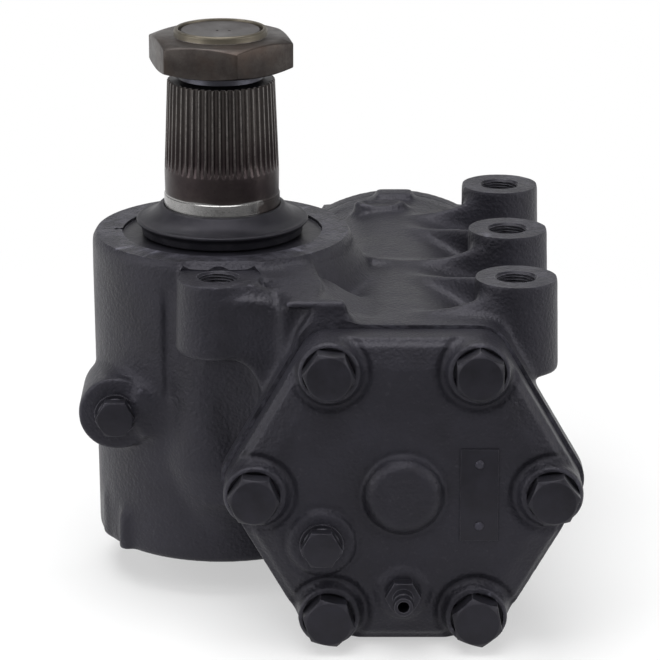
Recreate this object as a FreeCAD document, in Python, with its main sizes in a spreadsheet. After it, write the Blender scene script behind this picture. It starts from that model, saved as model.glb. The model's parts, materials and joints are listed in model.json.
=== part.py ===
import FreeCAD, Part
import math
import os
import re

import Sketcher

# Power steering gear of the recirculating-ball kind, in millimetres.
# Origin: the drop-arm shaft's axis in the plane of the mounting boss faces.
# +Z up along the drop-arm shaft, +Y from the end cover towards the input shaft,
# +X from the drop-arm shaft towards the piston cylinder.

os.makedirs("parts", exist_ok=True)
doc = FreeCAD.newDocument("steering_gear")

# Driving dimensions
SIZES = {
    # piston cylinder: where its axis lies and how it is cast
    "cylinder_x": 88.8,
    "cylinder_drop": 92.5,
    "cylinder_radius": 70,
    "cylinder_rise": 8,
    "bore_radius": 57.5,
    "front_joint": 103,
    "rear_joint": 138,
    # sector barrel round the drop-arm shaft
    "barrel_wall": 8,
    "barrel_draft": 1.2,
    "barrel_round": 2,
    "rim_height": 4,
    "rim_chamfer": 2.5,
    "cavity_gap": 2.5,
    "cavity_roof": 62,
    "bearing_bore_radius": 36,
    "seal_bore_radius": 42,
    "seal_bore_floor": 15,
    "rim_bore_radius": 50,
    "rim_bore_depth": 3,
    "notch_width": 3,
    # hexagonal flanges and their bolts
    "bolt_circle_radius": 71,
    "flange_corner_radius": 16.5,
    "flange_thickness": 13.5,
    "flange_boss_radius": 12.5,
    "flange_boss_length": 12,
    "bolt_radius": 7,
    "bolt_hole_gap": 0.4,
    "bolt_shank_length": 45,
    "bolt_head_width": 22,
    "bolt_head_height": 8.8,
    "thread_run_out": 4,
    # round rear flange that carries the valve housing
    "rear_flange_radius": 78,
    "rear_circle_radius": 65.5,
    "rear_boss_radius": 11,
    "rear_bolt_radius": 6,
    "rear_bolt_length": 38,
    "rear_bolt_head_width": 19,
    "rear_bolt_head_height": 7.5,
    # mounting bosses
    "boss_x": 143.6,
    "boss_front_y": -72,
    "boss_spacing": 87.5,
    "boss_radius": 20,
    "boss_draft": 1,
    "boss_height": 46,
    "left_boss_height": 36.5,
    "mount_hole_radius": 9.19,
    "mount_hole_depth": 35,
    "mount_hole_chamfer": 1.2,
    # cast webs and local forms
    "web_thickness": 5,
    "web_top": 5,
    "web_foot_x": 92,
    "web_foot_drop": 14.2,
    "front_web_offset": -13,
    "rear_web_offset": 9,
    "rear_web_reach": 44,
    "saddle_web_x": 58,
    "saddle_web_drop": 9,
    "pillar_radius": 30,
    "pillar_top_radius": 23,
    "pillar_y": -44,
    "pillar_depth": 100,
    "pillar_fade": 36,
    "block_face_y": -93,
    "block_end_x": 31,
    "block_foot_x": 20.6,
    "block_low": 36,
    "ridge_thickness": 8,
    "edge_rib_width": 3.6,
    "cast_pad_length": 28,
    "cast_pad_width": 13,
    "cast_pad_x": 80.5,
    "cast_pad_y": 108,
    "cast_pad_height": 1.6,
    "tab_start_x": 33,
    "tab_end_x": 61.3,
    "tab_block_x": 49.6,
    "tab_top": 3.6,
    "tab_height": 3.3,
    "tab_depth": 7.5,
    "saddle_slope": 6.6,
    "saddle_depth": 36,
    "saddle_skirt_reach": 16,
    "side_lug_radius": 4,
    "side_lug_sink": 1.4,
    "side_lug_angle": 22.1,
    "side_lug_height": 17,
    "plug_boss_x": -51.7,
    "plug_boss_drop": 76,
    "plug_boss_radius": 18.6,
    "plug_boss_stand": 3.73,
    # front cover
    "cover_corner_radius": 14.5,
    "cover_edge": 18,
    "cover_crown": 4,
    "cover_slope_width": 11.7,
    "cover_pad_radius": 14.75,
    "cover_pad_height": 3,
    "cover_spigot": 5,
    "seal_section": 3,
    "cover_hollow_radius": 45,
    "cover_hollow_depth": 11,
    "disc_base_radius": 19.4,
    "disc_face_radius": 17.2,
    "disc_height": 7,
    "plate_width": 18,
    "plate_height": 46,
    "plate_thickness": 0.8,
    "plate_offset": 36,
    "rivet_radius": 2.2,
    "rivet_spacing": 31,
    # plugs and bleeder screw
    "cover_plug_x": 38.9,
    "cover_plug_drop": 24.1,
    "cover_plug_pad_radius": 16.5,
    "plug_pad_height": 2.5,
    "plug_width": 17,
    "plug_head_height": 7.5,
    "plug_shank_radius": 7,
    "plug_shank_length": 11,
    "washer_radius": 10.5,
    "washer_thickness": 1.5,
    "bleeder_drop": 49.4,
    "bleeder_pad_radius": 13.4,
    "bleeder_width": 15,
    "bleeder_hex_height": 6.5,
    "bleeder_tube_radius": 4.95,
    "bleeder_tube_length": 11,
    "bleeder_bore_radius": 2.85,
    # drop-arm shaft
    "ground_radius": 28.85,
    "ground_top": 23.6,
    "plain_radius": 28.4,
    "spline_start": 34.8,
    "spline_end": 80.6,
    "spline_base_radius": 28.55,
    "spline_tip_radius": 26.75,
    "spline_depth": 1.6,
    "spline_count": 48,
    "relief_radius": 20.2,
    "stud_radius": 20.9,
    "stud_end": 106,
    "nut_base": 87,
    "nut_width": 65,
    "nut_thickness": 16,
    "nut_chamfer": 2.5,
    "nut_collar_radius": 23.15,
    "nut_collar_height": 3.8,
    "nut_turn": 13.9,
    "upper_journal_radius": 29,
    "lower_journal_radius": 27,
    "shaft_foot_gap": 1,
    # sector and rack teeth
    "tooth_module": 8,
    "pressure_angle": 25,
    "sector_pitch_radius": 46.5,
    "sector_teeth": 3,
    "tooth_face_width": 54,
    "tooth_backlash": 0.36,
    "tooth_root_gap": 1.3,
    # sector cover, adjusting screw
    "cover_inset": 8,
    "cover_seat_step": 2,
    "sector_cover_thickness": 5,
    "cover_bore_wall": 1.15,
    "cover_ring_height": 1.6,
    "cover_ring_reach": 1.6,
    "cover_ring_width": 5.1,
    "cover_ring_gap": 11,
    "cover_ring_ear_radius": 3.6,
    "cover_ring_ear_hole": 1.25,
    "spigot_gap": 0.1,
    "sector_bearing_wall": 7,
    "sector_tube_wall": 4.5,
    "sector_end_gap": 3.5,
    "cover_seal_section": 2.5,
    "adjuster_radius": 9,
    "adjuster_head_radius": 14,
    "adjuster_head_height": 5,
    "adjuster_reach": 19.4,
    "adjuster_pocket_radius": 16,
    "adjuster_pocket_depth": 12,
    "adjuster_ring_thickness": 5,
    "adjuster_boss_radius": 19,
    "adjuster_boss_height": 6,
    "lock_nut_width": 27,
    "lock_nut_height": 10,
    # seals at the drop-arm shaft
    "running_gap": 0.06,
    "soft_gap": 0.25,
    "oil_seal_height": 8,
    "support_ring_height": 3.2,
    "snap_ring_height": 2,
    "snap_ring_inner_radius": 44,
    "snap_ring_base": 0.6,
    "dust_seal_top": 17.7,
    "dust_lip_radius": 43.3,
    "dust_lip_height": 12.3,
    "dust_foot_radius": 37,
    # piston with ball nut and rack
    "piston_gap": 0.08,
    "piston_front": 58,
    "piston_rear": 94,
    "rack_flat_end": 66,
    "piston_bore_front": 47,
    "piston_mouth_radius": 25,
    "piston_mouth_depth": 14,
    "ring_groove_y": 84,
    "ring_width": 4,
    "ring_groove_depth": 4,
    "screw_lead": 16,
    "ball_circle_radius": 18.5,
    "ball_radius": 4,
    "ball_count": 27,
    "groove_gap": 0.2,
    "screw_land_gap": 1.2,
    "nut_track_start": 36,
    "nut_track_turns": 2,
    "guide_tube_radius": 5.6,
    "guide_circle_radius": 42,
    "guide_slot_width": 15,
    # worm, bearing and valve
    "worm_tip": -10,
    "worm_thread_end": 112,
    "worm_neck_radius": 13.5,
    "worm_collar_radius": 23,
    "worm_collar_length": 4,
    "worm_collar_y": 130.5,
    "worm_bearing_length": 15,
    "worm_bearing_radius": 36,
    "worm_bearing_seat_radius": 20,
    "bearing_ball_radius": 4.5,
    "bearing_ball_count": 12,
    "sleeve_radius": 26,
    "sleeve_gap": 0.3,
    "sleeve_end": 205,
    "sleeve_groove_width": 3,
    "sleeve_groove_depth": 2,
    "rotor_radius": 15,
    "rotor_gap": 0.07,
    "rotor_start": 146,
    "torsion_bar_radius": 4.5,
    "torsion_bar_gap": 0.8,
    "torsion_pin_radius": 2.5,
    "torsion_pin_reach": 10,
    "torsion_pin_length": 25,
    # valve housing and input shaft
    "valve_flange": 14,
    "valve_body_radius": 44,
    "valve_body_end": 214,
    "valve_neck_radius": 31,
    "valve_neck_end": 238,
    "input_bearing_radius": 20,
    "input_bearing_length": 14,
    "input_seal_radius": 23,
    "input_seal_length": 9,
    "input_journal_radius": 14,
    "input_spline_radius": 11,
    "input_spline_depth": 0.9,
    "input_spline_count": 36,
    "input_neck_length": 8,
    "input_spline_length": 24,
    "input_groove_radius": 9.4,
    "input_groove_width": 7,
    "input_groove_offset": 8,
    "pressure_port_y": 171,
    "return_port_y": 200,
    "pressure_port_radius": 8.19,
    "return_port_radius": 10.19,
    "port_depth": 16,
    "port_top": 54,
    "port_wall": 5.5,
    "port_drilling_radius": 4,
}

# Sizes that follow from the ones above, kept as formulas in the same sheet
RESULTS = {
    "cavity_radius": "sector_pitch_radius + tooth_module + cavity_gap",
    "barrel_radius": "cavity_radius + barrel_wall",
    "cover_seat_radius": "cavity_radius + cover_seat_step",
    "cover_seat_depth": "cylinder_drop + sqrt((bore_radius + cover_bore_wall) ^ 2"
                        " - (cylinder_x - cover_seat_radius) ^ 2)",
    "barrel_depth": "cover_seat_depth + cover_inset",
    "cover_ring_radius": "cover_seat_radius + cover_ring_reach",
    "cover_ring_inner_radius": "cover_ring_radius - cover_ring_width",
    "side_lug_x": "-(barrel_radius - side_lug_sink) * cos(side_lug_angle)",
    "side_lug_y": "-(barrel_radius - side_lug_sink) * sin(side_lug_angle)",
    "input_spline_start": "valve_neck_end + input_neck_length",
    "input_end": "input_spline_start + input_spline_length",
    "input_groove_y": "input_spline_start + input_groove_offset",
}

sheet = doc.addObject("Spreadsheet::Sheet", "Sizes")
for row, alias in enumerate([*SIZES, *RESULTS], start=1):
    sheet.set(f"A{row}", alias)
    sheet.set(f"B{row}", str(SIZES[alias]) if alias in SIZES else "=" + RESULTS[alias])
    sheet.setAlias(f"B{row}", alias)
doc.recompute()

UP = FreeCAD.Rotation()
BACKWARD = FreeCAD.Rotation(FreeCAD.Vector(1, 0, 0), -90)
FORWARD = FreeCAD.Rotation(FreeCAD.Vector(1, 0, 0), 90)


# Formulas: plain arithmetic on the names in the sheet
def formula(text):
    """The same arithmetic with each size name pointing at its cell."""
    names = {**SIZES, **RESULTS}
    return re.sub(r"[a-z][a-z_]+", lambda m: "Sizes." + m[0] if m[0] in names else m[0], str(text))


def value(text):
    """What a formula comes to with the sheet's numbers."""
    return float(sheet.evalExpression(formula(text)))


def bind(item, **formulas):
    for name, text in formulas.items():
        item.setExpression(name, formula(text))
    return item


def place(item, x="0", y="0", z="0", turn=UP):
    """Gives an object its fixed turn and a position that follows the sheet."""
    item.Placement = FreeCAD.Placement(FreeCAD.Vector(value(x), value(y), value(z)), turn)
    for letter, text in zip("xyz", (x, y, z)):
        item.setExpression(f"Placement.Base.{letter}", formula(text))
    return item


# Primitives
def cylinder(name, radius, height, x="0", y="0", z="0", turn=UP):
    item = doc.addObject("Part::Cylinder", name)
    bind(item, Radius=radius, Height=height)
    return place(item, x, y, z, turn)


def cone(name, low_radius, high_radius, height, x="0", y="0", z="0", turn=UP):
    item = doc.addObject("Part::Cone", name)
    bind(item, Radius1=low_radius, Radius2=high_radius, Height=height)
    return place(item, x, y, z, turn)


def box(name, length, width, height, x="0", y="0", z="0", turn=UP):
    item = doc.addObject("Part::Box", name)
    bind(item, Length=length, Width=width, Height=height)
    return place(item, x, y, z, turn)


def sphere(name, radius, x="0", y="0", z="0"):
    item = doc.addObject("Part::Sphere", name)
    bind(item, Radius=radius)
    return place(item, x, y, z)


def hexagon(name, across_flats, height, x="0", y="0", z="0", turn=UP):
    item = doc.addObject("Part::Prism", name)
    item.Polygon = 6
    bind(item, Circumradius=f"({across_flats}) / 2 / cos(30)", Height=height)
    return place(item, x, y, z, turn)


# Booleans
def fuse(name, *members):
    item = doc.addObject("Part::MultiFuse", name)
    item.Shapes = list(members)
    item.Refine = True
    return item


def cut(name, base, *tools):
    item = doc.addObject("Part::Cut", name)
    item.Base = base
    item.Tool = tools[0] if len(tools) == 1 else fuse(name + "_cuts", *tools)
    return item


def common(name, base, tool):
    item = doc.addObject("Part::Common", name)
    item.Base = base
    item.Tool = tool
    return item


def group(name, members):
    item = doc.addObject("Part::Compound", name)
    item.Links = list(members)
    return item


def ring(name, outer, inner, height, x="0", y="0", z="0", turn=UP):
    hole = cylinder(name + "_hole", inner, height, x, y, z, turn)
    return cut(name, cylinder(name + "_blank", outer, height, x, y, z, turn), hole)


# Sketched bodies
def outline(body, plane, corners):
    """A closed sketch on one of the body's planes, each corner held by two formulas."""
    origin_plane = [o for o in body.Origin.OriginFeatures if o.Role == plane][0]
    sketch = body.newObject("Sketcher::SketchObject", "Outline")
    sketch.AttachmentSupport = (origin_plane, [""])
    sketch.MapMode = "FlatFace"
    spots = [FreeCAD.Vector(value(across), value(up), 0) for across, up in corners]
    count = len(spots)
    for i in range(count):
        sketch.addGeometry(Part.LineSegment(spots[i], spots[(i + 1) % count]))
    for i in range(count):
        sketch.addConstraint(Sketcher.Constraint("Coincident", i, 2, (i + 1) % count, 1))
    for i, (across, up) in enumerate(corners):
        for kind, text, size, axis in (
            ("DistanceX", across, spots[i].x, -2),
            ("DistanceY", up, spots[i].y, -1),
        ):
            if text == "0":
                sketch.addConstraint(Sketcher.Constraint("PointOnObject", i, 1, axis))
                continue
            held = sketch.addConstraint(Sketcher.Constraint(kind, -1, 1, i, 1, size))
            sketch.renameConstraint(held, f"{kind}_{i}")
            sketch.setExpression(f"Constraints.{kind}_{i}", formula(text))
    return sketch


def turned(name, corners, x="0", y="0", z="0", turn=UP):
    """A body turned about its own Z from (radius, height) corners."""
    body = doc.addObject("PartDesign::Body", name)
    sketch = outline(body, "XZ_Plane", corners)
    feature = body.newObject("PartDesign::Revolution", name + "_turned")
    feature.Profile = sketch
    feature.ReferenceAxis = (sketch, ["V_Axis"])
    feature.Angle = 360
    return place(body, x, y, z, turn)


def plate(name, corners, thickness, x="0", y="0", z="0", turn=UP, plane="XZ_Plane"):
    """A body of even thickness, padded from an outline seen from the front."""
    body = doc.addObject("PartDesign::Body", name)
    sketch = outline(body, plane, corners)
    feature = body.newObject("PartDesign::Pad", name + "_pad")
    feature.Profile = sketch
    feature.Reversed = plane == "XZ_Plane"
    bind(feature, Length=thickness)
    return place(body, x, y, z, turn)


def rounded(name, base, radius, wanted):
    """Rounds the edges of a finished object that wanted() picks."""
    doc.recompute()
    item = doc.addObject("Part::Fillet", name)
    item.Base = base
    size = value(radius)
    picked = [i for i, edge in enumerate(base.Shape.Edges, start=1) if wanted(edge)]
    if not picked:
        raise RuntimeError(f"no edge to round on {name}")
    item.Edges = [(i, size, size) for i in picked]
    return item


def fixed(name, shape):
    """An object whose shape comes from Part's own functions."""
    item = doc.addObject("Part::Feature", name)
    item.Shape = shape
    return item


def upright(edge):
    """True for a straight edge along the object's Z."""
    if len(edge.Vertexes) != 2:
        return False
    start, end = (v.Point for v in edge.Vertexes)
    return abs(start.x - end.x) < 1e-6 and abs(start.y - end.y) < 1e-6


# Places that several pieces share
AXIS_Z = "(-cylinder_drop)"
COVER_SEAT = "(-cover_seat_depth)"
COVER_LOW = "(-cover_seat_depth - sector_cover_thickness)"
SHAFT_FOOT = "(shaft_foot_gap - cover_seat_depth)"
ADJUSTER_END = "(-barrel_depth - adjuster_reach)"
PLUG_FACE_Y = "(-sqrt(barrel_radius ^ 2 - (plug_boss_x + washer_radius) ^ 2) - plug_boss_stand)"
FLATS = "(bolt_circle_radius * cos(30) + {corner}) * 2"


def bolt_spot(index, radius="bolt_circle_radius"):
    """Centre of one of six flange bolts, seen from the front."""
    angle = 60 * index
    return f"cylinder_x + {radius} * cos({angle})", f"{AXIS_Z} + {radius} * sin({angle})"


def flange(name, corner, thickness, y, turn):
    """Hexagonal plate with two flat sides level, its upright corners rounded."""
    prism = hexagon(name + "_prism", FLATS.format(corner=corner), thickness)
    plain = rounded(name, prism, corner, upright)
    return place(plain, "cylinder_x", y, AXIS_Z, turn)


# Housing
def sector_barrel():
    corners = [
        ("0", "-barrel_depth"),
        ("barrel_radius - barrel_draft - barrel_round", "-barrel_depth"),
        ("barrel_radius - barrel_draft - barrel_round * 0.3", "-barrel_depth + barrel_round * 0.3"),
        ("barrel_radius - barrel_draft", "-barrel_depth + barrel_round"),
        ("barrel_radius", "-seal_bore_floor"),
        ("barrel_radius", "rim_height - rim_chamfer"),
        ("barrel_radius - rim_chamfer * 1.4", "rim_height"),
        ("0", "rim_height"),
    ]
    return turned("sector_barrel", corners)


def cylinder_barrel():
    length = "front_joint + rear_joint"
    low = cylinder("cylinder_low", "cylinder_radius", length, "cylinder_x", "-front_joint", AXIS_Z,
                   BACKWARD)
    rise = f"{AXIS_Z} + cylinder_rise"
    high = cylinder("cylinder_high", "cylinder_radius", length, "cylinder_x", "-front_joint", rise,
                    BACKWARD)
    sides = box("cylinder_sides", "cylinder_radius * 2", length, "cylinder_rise",
                "cylinder_x - cylinder_radius", "-front_joint", AXIS_Z)
    return [low, high, sides]


def mounting_bosses():
    bosses = []
    for i in range(3):
        y = f"boss_front_y + boss_spacing * {i}"
        bosses.append(cone(f"boss_right_{i + 1}", "boss_radius + boss_draft", "boss_radius", "boss_height",
                           "boss_x", y, "-boss_height"))
    bosses.append(cone("boss_left", "boss_radius + boss_draft", "boss_radius", "left_boss_height",
                       "0", "boss_front_y", "-left_boss_height"))
    return bosses


def web(name, x, y, corners, slant=0.0):
    """A thin upright web that runs from (x, y) towards -X, or slantwise to +Y."""
    turn = FreeCAD.Rotation(FreeCAD.Vector(0, 0, 1), -slant)
    return plate(name, corners, "web_thickness", x, y, "0", turn)


def boss_webs():
    """Webs fan out from each right-hand boss and run out on top of the cylinder."""
    webs = []
    foot = "web_foot_x - boss_x"
    for i in range(3):
        y = f"boss_front_y + boss_spacing * {i} + front_web_offset - web_thickness / 2"
        corners = [
            ("-boss_radius / 2", "-web_top"),
            ("-boss_radius * 0.9", "-web_top - 2"),
            (f"({foot}) * 0.6", "-web_foot_drop + 3"),
            (foot, "-web_foot_drop"),
            (foot, "-web_foot_drop - 12"),
            ("-boss_radius / 2", "-boss_height + 6"),
        ]
        if i == 1:
            corners[3:5] = [
                (foot, "-web_foot_drop + 1"),
                ("saddle_web_x - boss_x", "-saddle_web_drop"),
                ("saddle_web_x - boss_x", "-saddle_web_drop - 25"),
            ]
        webs.append(web(f"front_web_{i + 1}", "boss_x", y, corners))
    run = value("boss_x - boss_radius / 2 - web_foot_x")
    slant = math.degrees(math.atan2(value("rear_web_reach"), run))
    length = f"(boss_x - boss_radius / 2 - web_foot_x) / cos({slant:.4f})"
    for i in range(2):
        webs.append(web(f"rear_web_{i + 1}", "boss_x - boss_radius / 2",
                        f"boss_front_y + boss_spacing * {i} + rear_web_offset", [
                            ("0", "-web_top"),
                            ("-boss_radius * 0.5", "-web_top"),
                            (f"-{length} * 0.6", "-web_foot_drop + 4"),
                            (f"-{length}", "-web_foot_drop"),
                            (f"-{length}", "-web_foot_drop - 12"),
                            ("0", "-boss_height + 6"),
                        ], slant))
    return webs


def left_block():
    """The wall from the left boss to the front flange, with the tab that stands on the flange."""
    wall = plate("left_wall", [
        ("0", "-7"),
        ("boss_radius - 5", "-5"),
        ("block_end_x - 6", "-6.5"),
        ("block_end_x + 1", "-11"),
        ("block_end_x + 14", "-block_low - 38"),
        ("block_foot_x", "-block_low - 38"),
        ("block_foot_x", "-block_low - 18"),
        ("block_foot_x - 1.5", "-block_low - 11"),
        ("block_foot_x - 5.5", "-block_low - 4"),
        ("block_foot_x - 12", "-block_low"),
        ("0", "-block_low"),
    ], "-block_face_y - 50", "0", "block_face_y")
    ridge = plate("wall_ridge", [
        ("0", "-12"),
        ("boss_radius - 6", "0"),
        ("boss_radius - 2", "0"),
        ("block_end_x + 2", "-7.6"),
        ("block_end_x + 2", "-22"),
        ("0", "-22"),
    ], "ridge_thickness", "0", "block_face_y + 5")
    rib = plate("edge_rib", [
        ("block_end_x - 0.6", "-8"),
        ("block_end_x + edge_rib_width - 0.6", "-8"),
        ("block_end_x + edge_rib_width + 1.4", "-block_low - 34"),
        ("block_end_x - 0.6", "-block_low - 34"),
    ], "-block_face_y - 58", "0", "block_face_y - 3.2")
    low = "tab_top + tab_height"
    tab = plate("flange_tab", [
        ("tab_start_x", "-tab_top"),
        ("tab_end_x", "-tab_top"),
        ("tab_end_x + 0.8", "-tab_top - 6"),
        ("tab_end_x + 4", "-tab_top - 10"),
        ("tab_end_x + 10", "-tab_top - 12"),
        ("tab_block_x", "-tab_top - 24"),
        ("tab_start_x + 3", "-block_low - 6"),
        ("tab_start_x + 2.4", "-block_low + 6"),
        ("tab_start_x + 5.4", f"-({low}) - 12"),
        ("tab_block_x - 5", f"-({low}) - 3"),
        ("tab_block_x", f"-({low})"),
        ("tab_start_x", f"-({low})"),
    ], "tab_depth", "0", "-front_joint + 0.5")
    gusset = plate("tab_gusset", [
        ("tab_start_x - 2", f"-({low}) - 0.5"),
        ("tab_block_x + 4", f"-({low}) - 1.5"),
        ("tab_block_x + 4", "-tab_top - 14"),
        ("tab_block_x", "-block_low"),
        ("tab_start_x + 2", "-block_low - 30"),
        ("tab_start_x - 4", "-block_low - 30"),
    ], "24", "0", "-front_joint + tab_depth")
    # The saddle falls from the barrel's rim to the tab, and beside the tab to the cylinder
    slope = FreeCAD.Rotation(FreeCAD.Vector(1, 0, 0), value("saddle_slope"))
    saddle = plate("saddle_plateau", [
        ("boss_radius - 9.5", "6"),
        ("boss_radius - 7.5", "0"),
        ("tab_start_x + 1.5", "(55 - front_joint + tab_depth) / cos(saddle_slope)"),
        ("tab_block_x - 1", "(55 - front_joint + tab_depth) / cos(saddle_slope)"),
        ("tab_block_x + 1", "-22"),
        ("tab_block_x - 4", "6"),
    ], "saddle_depth", "0", "-rim_height * 13.75 + saddle_depth * sin(saddle_slope)",
        "1 - saddle_depth * cos(saddle_slope)", slope, "XY_Plane")
    side = plate("saddle_side_slope", [
        ("tab_block_x - 8", "-tab_top - 1.4"),
        ("tab_block_x + 0.5", "-tab_top - 2"),
        ("tab_block_x + 6.5", "-tab_top - 5"),
        ("tab_end_x + 1", "-tab_top - 9"),
        ("tab_end_x + 9", "-tab_top - 12.6"),
        ("tab_end_x + 19", "-tab_top - 14"),
        ("tab_end_x + 19", "-60"),
        ("tab_block_x - 8", "-60"),
    ], "44", "0", "-front_joint + tab_depth - 0.5")
    return [wall, ridge, rib, tab, gusset, saddle, side]


def housing():
    fillet_skirt = common(
        "saddle_skirt",
        cone("saddle_cone", "barrel_radius + saddle_skirt_reach", "barrel_radius - 1", "26", "0", "0", "-26"),
        box("saddle_side", "barrel_radius + 30", "barrel_radius * 2", "60", "26", "-barrel_radius + 12",
            "-60"))
    pillar = cone("pillar", "pillar_radius", "pillar_top_radius", "pillar_depth - 6", "0", "pillar_y",
                  "-pillar_depth")
    pillar_foot = cone("pillar_foot", "pillar_top_radius - 3", "pillar_radius", "pillar_fade", "0",
                       "pillar_y",
                       "-pillar_depth - pillar_fade")
    plug_boss = cylinder("plug_boss", "plug_boss_radius", f"-{PLUG_FACE_Y} - 12",
                         "plug_boss_x", PLUG_FACE_Y, "-plug_boss_drop", BACKWARD)
    side_lug = cylinder("side_lug", "side_lug_radius", "side_lug_height", "side_lug_x", "side_lug_y",
                        "-barrel_depth + 1")
    lug_top = cone("side_lug_top", "side_lug_radius", "side_lug_radius * 0.3", "side_lug_radius * 1.5",
                   "side_lug_x", "side_lug_y", "-barrel_depth + side_lug_height + 1")
    front = flange("front_flange", "flange_corner_radius", "flange_thickness",
                   "-front_joint + flange_thickness", FORWARD)
    rear = cylinder("rear_flange", "rear_flange_radius", "flange_thickness", "cylinder_x", "rear_joint",
                    AXIS_Z,
                    FORWARD)
    bump = box("rear_bump", "20", "flange_thickness", "12", "cylinder_x - 10.5",
               "rear_joint - flange_thickness", f"{AXIS_Z} + rear_flange_radius - 9")
    pad_ends = [
        cylinder(f"cast_pad_end_{side}", "cast_pad_width / 2", "12",
                 f"cast_pad_x + (cast_pad_length - cast_pad_width) / 2 * {side}", "cast_pad_y",
                 f"{AXIS_Z} + cylinder_rise + cylinder_radius + cast_pad_height - 12")
        for side in (-1, 1)
    ]
    pad_middle = box("cast_pad_middle", "cast_pad_length - cast_pad_width", "cast_pad_width", "12",
                     "cast_pad_x - (cast_pad_length - cast_pad_width) / 2",
                     "cast_pad_y - cast_pad_width / 2",
                     f"{AXIS_Z} + cylinder_rise + cylinder_radius + cast_pad_height - 12")
    bolt_bosses = []
    for i in range(6):
        x, z = bolt_spot(i)
        bolt_bosses.append(cylinder(f"front_bolt_boss_{i}", "flange_boss_radius", "flange_boss_length", x,
                                    "-front_joint + flange_thickness", z, BACKWARD))
        x, z = bolt_spot(i, "rear_circle_radius")
        bolt_bosses.append(cylinder(f"rear_bolt_boss_{i}", "rear_boss_radius", "flange_boss_length + 4", x,
                                    "rear_joint - flange_thickness", z, FORWARD))
    cast = fuse("housing_cast", sector_barrel(), *cylinder_barrel(), front, rear, bump, *bolt_bosses,
                *mounting_bosses(), *boss_webs(), *left_block(), pillar, pillar_foot, plug_boss,
                fillet_skirt,
                *pad_ends, pad_middle, side_lug, lug_top)
    return cut("housing_machined", cast, *housing_cuts())


def housing_cuts():
    cuts = [
        cylinder("cylinder_bore", "bore_radius", "front_joint + rear_joint + 2",
                 "cylinder_x", "-front_joint - 1", AXIS_Z, BACKWARD),
        turned("sector_bore", [
            ("0", "-barrel_depth - 20"),
            ("cover_seat_radius", "-barrel_depth - 20"),
            ("cover_seat_radius", COVER_SEAT),
            ("cavity_radius", COVER_SEAT),
            ("cavity_radius", "-cavity_roof"),
            ("bearing_bore_radius", "-cavity_roof"),
            ("bearing_bore_radius", "-seal_bore_floor"),
            ("seal_bore_radius", "-seal_bore_floor"),
            ("seal_bore_radius", "-rim_bore_depth"),
            ("rim_bore_radius", "-rim_bore_depth"),
            ("rim_bore_radius", "rim_height + 1"),
            ("0", "rim_height + 1"),
        ]),
        ring("cover_ring_groove", "cover_ring_radius + 0.2", "cover_seat_radius - 1",
             "cover_ring_height + 0.1",
             "0", "0", f"{COVER_LOW} - cover_ring_height - 0.1"),
        cylinder("side_plug_hole", "plug_shank_radius", "plug_shank_length + 2",
                 "plug_boss_x", f"{PLUG_FACE_Y} - 1", "-plug_boss_drop", BACKWARD),
        cylinder("left_spot_face", "boss_radius + 0.2", "rim_height + 1", "0", "boss_front_y", "0"),
        box("snap_ring_notch", "6", "notch_width", "rim_height + rim_bore_depth + 1",
            "-rim_bore_radius - 5", "-notch_width / 2", "-rim_bore_depth"),
    ]
    holes = [("boss_x", f"boss_front_y + boss_spacing * {i}") for i in range(3)] + [("0", "boss_front_y")]
    for i, (x, y) in enumerate(holes, start=1):
        cuts.append(turned(f"mount_hole_{i}", [
            ("0", "-mount_hole_depth - mount_hole_radius * 0.5"),
            ("mount_hole_radius", "-mount_hole_depth"),
            ("mount_hole_radius", "-mount_hole_chamfer"),
            ("mount_hole_radius + mount_hole_chamfer", "0"),
            ("mount_hole_radius + mount_hole_chamfer", "1"),
            ("0", "1"),
        ], x, y))
    front_depth = "bolt_shank_length - cover_edge - cover_crown - cover_pad_height + thread_run_out"
    rear_depth = "rear_bolt_length - valve_flange + thread_run_out"
    for i in range(6):
        x, z = bolt_spot(i)
        cuts.append(cylinder(f"front_tapping_{i}", "bolt_radius", front_depth + " + 1", x,
                             "-front_joint - 1", z, BACKWARD))
        x, z = bolt_spot(i, "rear_circle_radius")
        cuts.append(cylinder(f"rear_tapping_{i}", "rear_bolt_radius", rear_depth + " + 1", x,
                             "rear_joint + 1", z, FORWARD))
    return cuts


# Front end cover and what is screwed into it
COVER_FACE = "(front_joint + cover_edge + cover_crown)"


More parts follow.
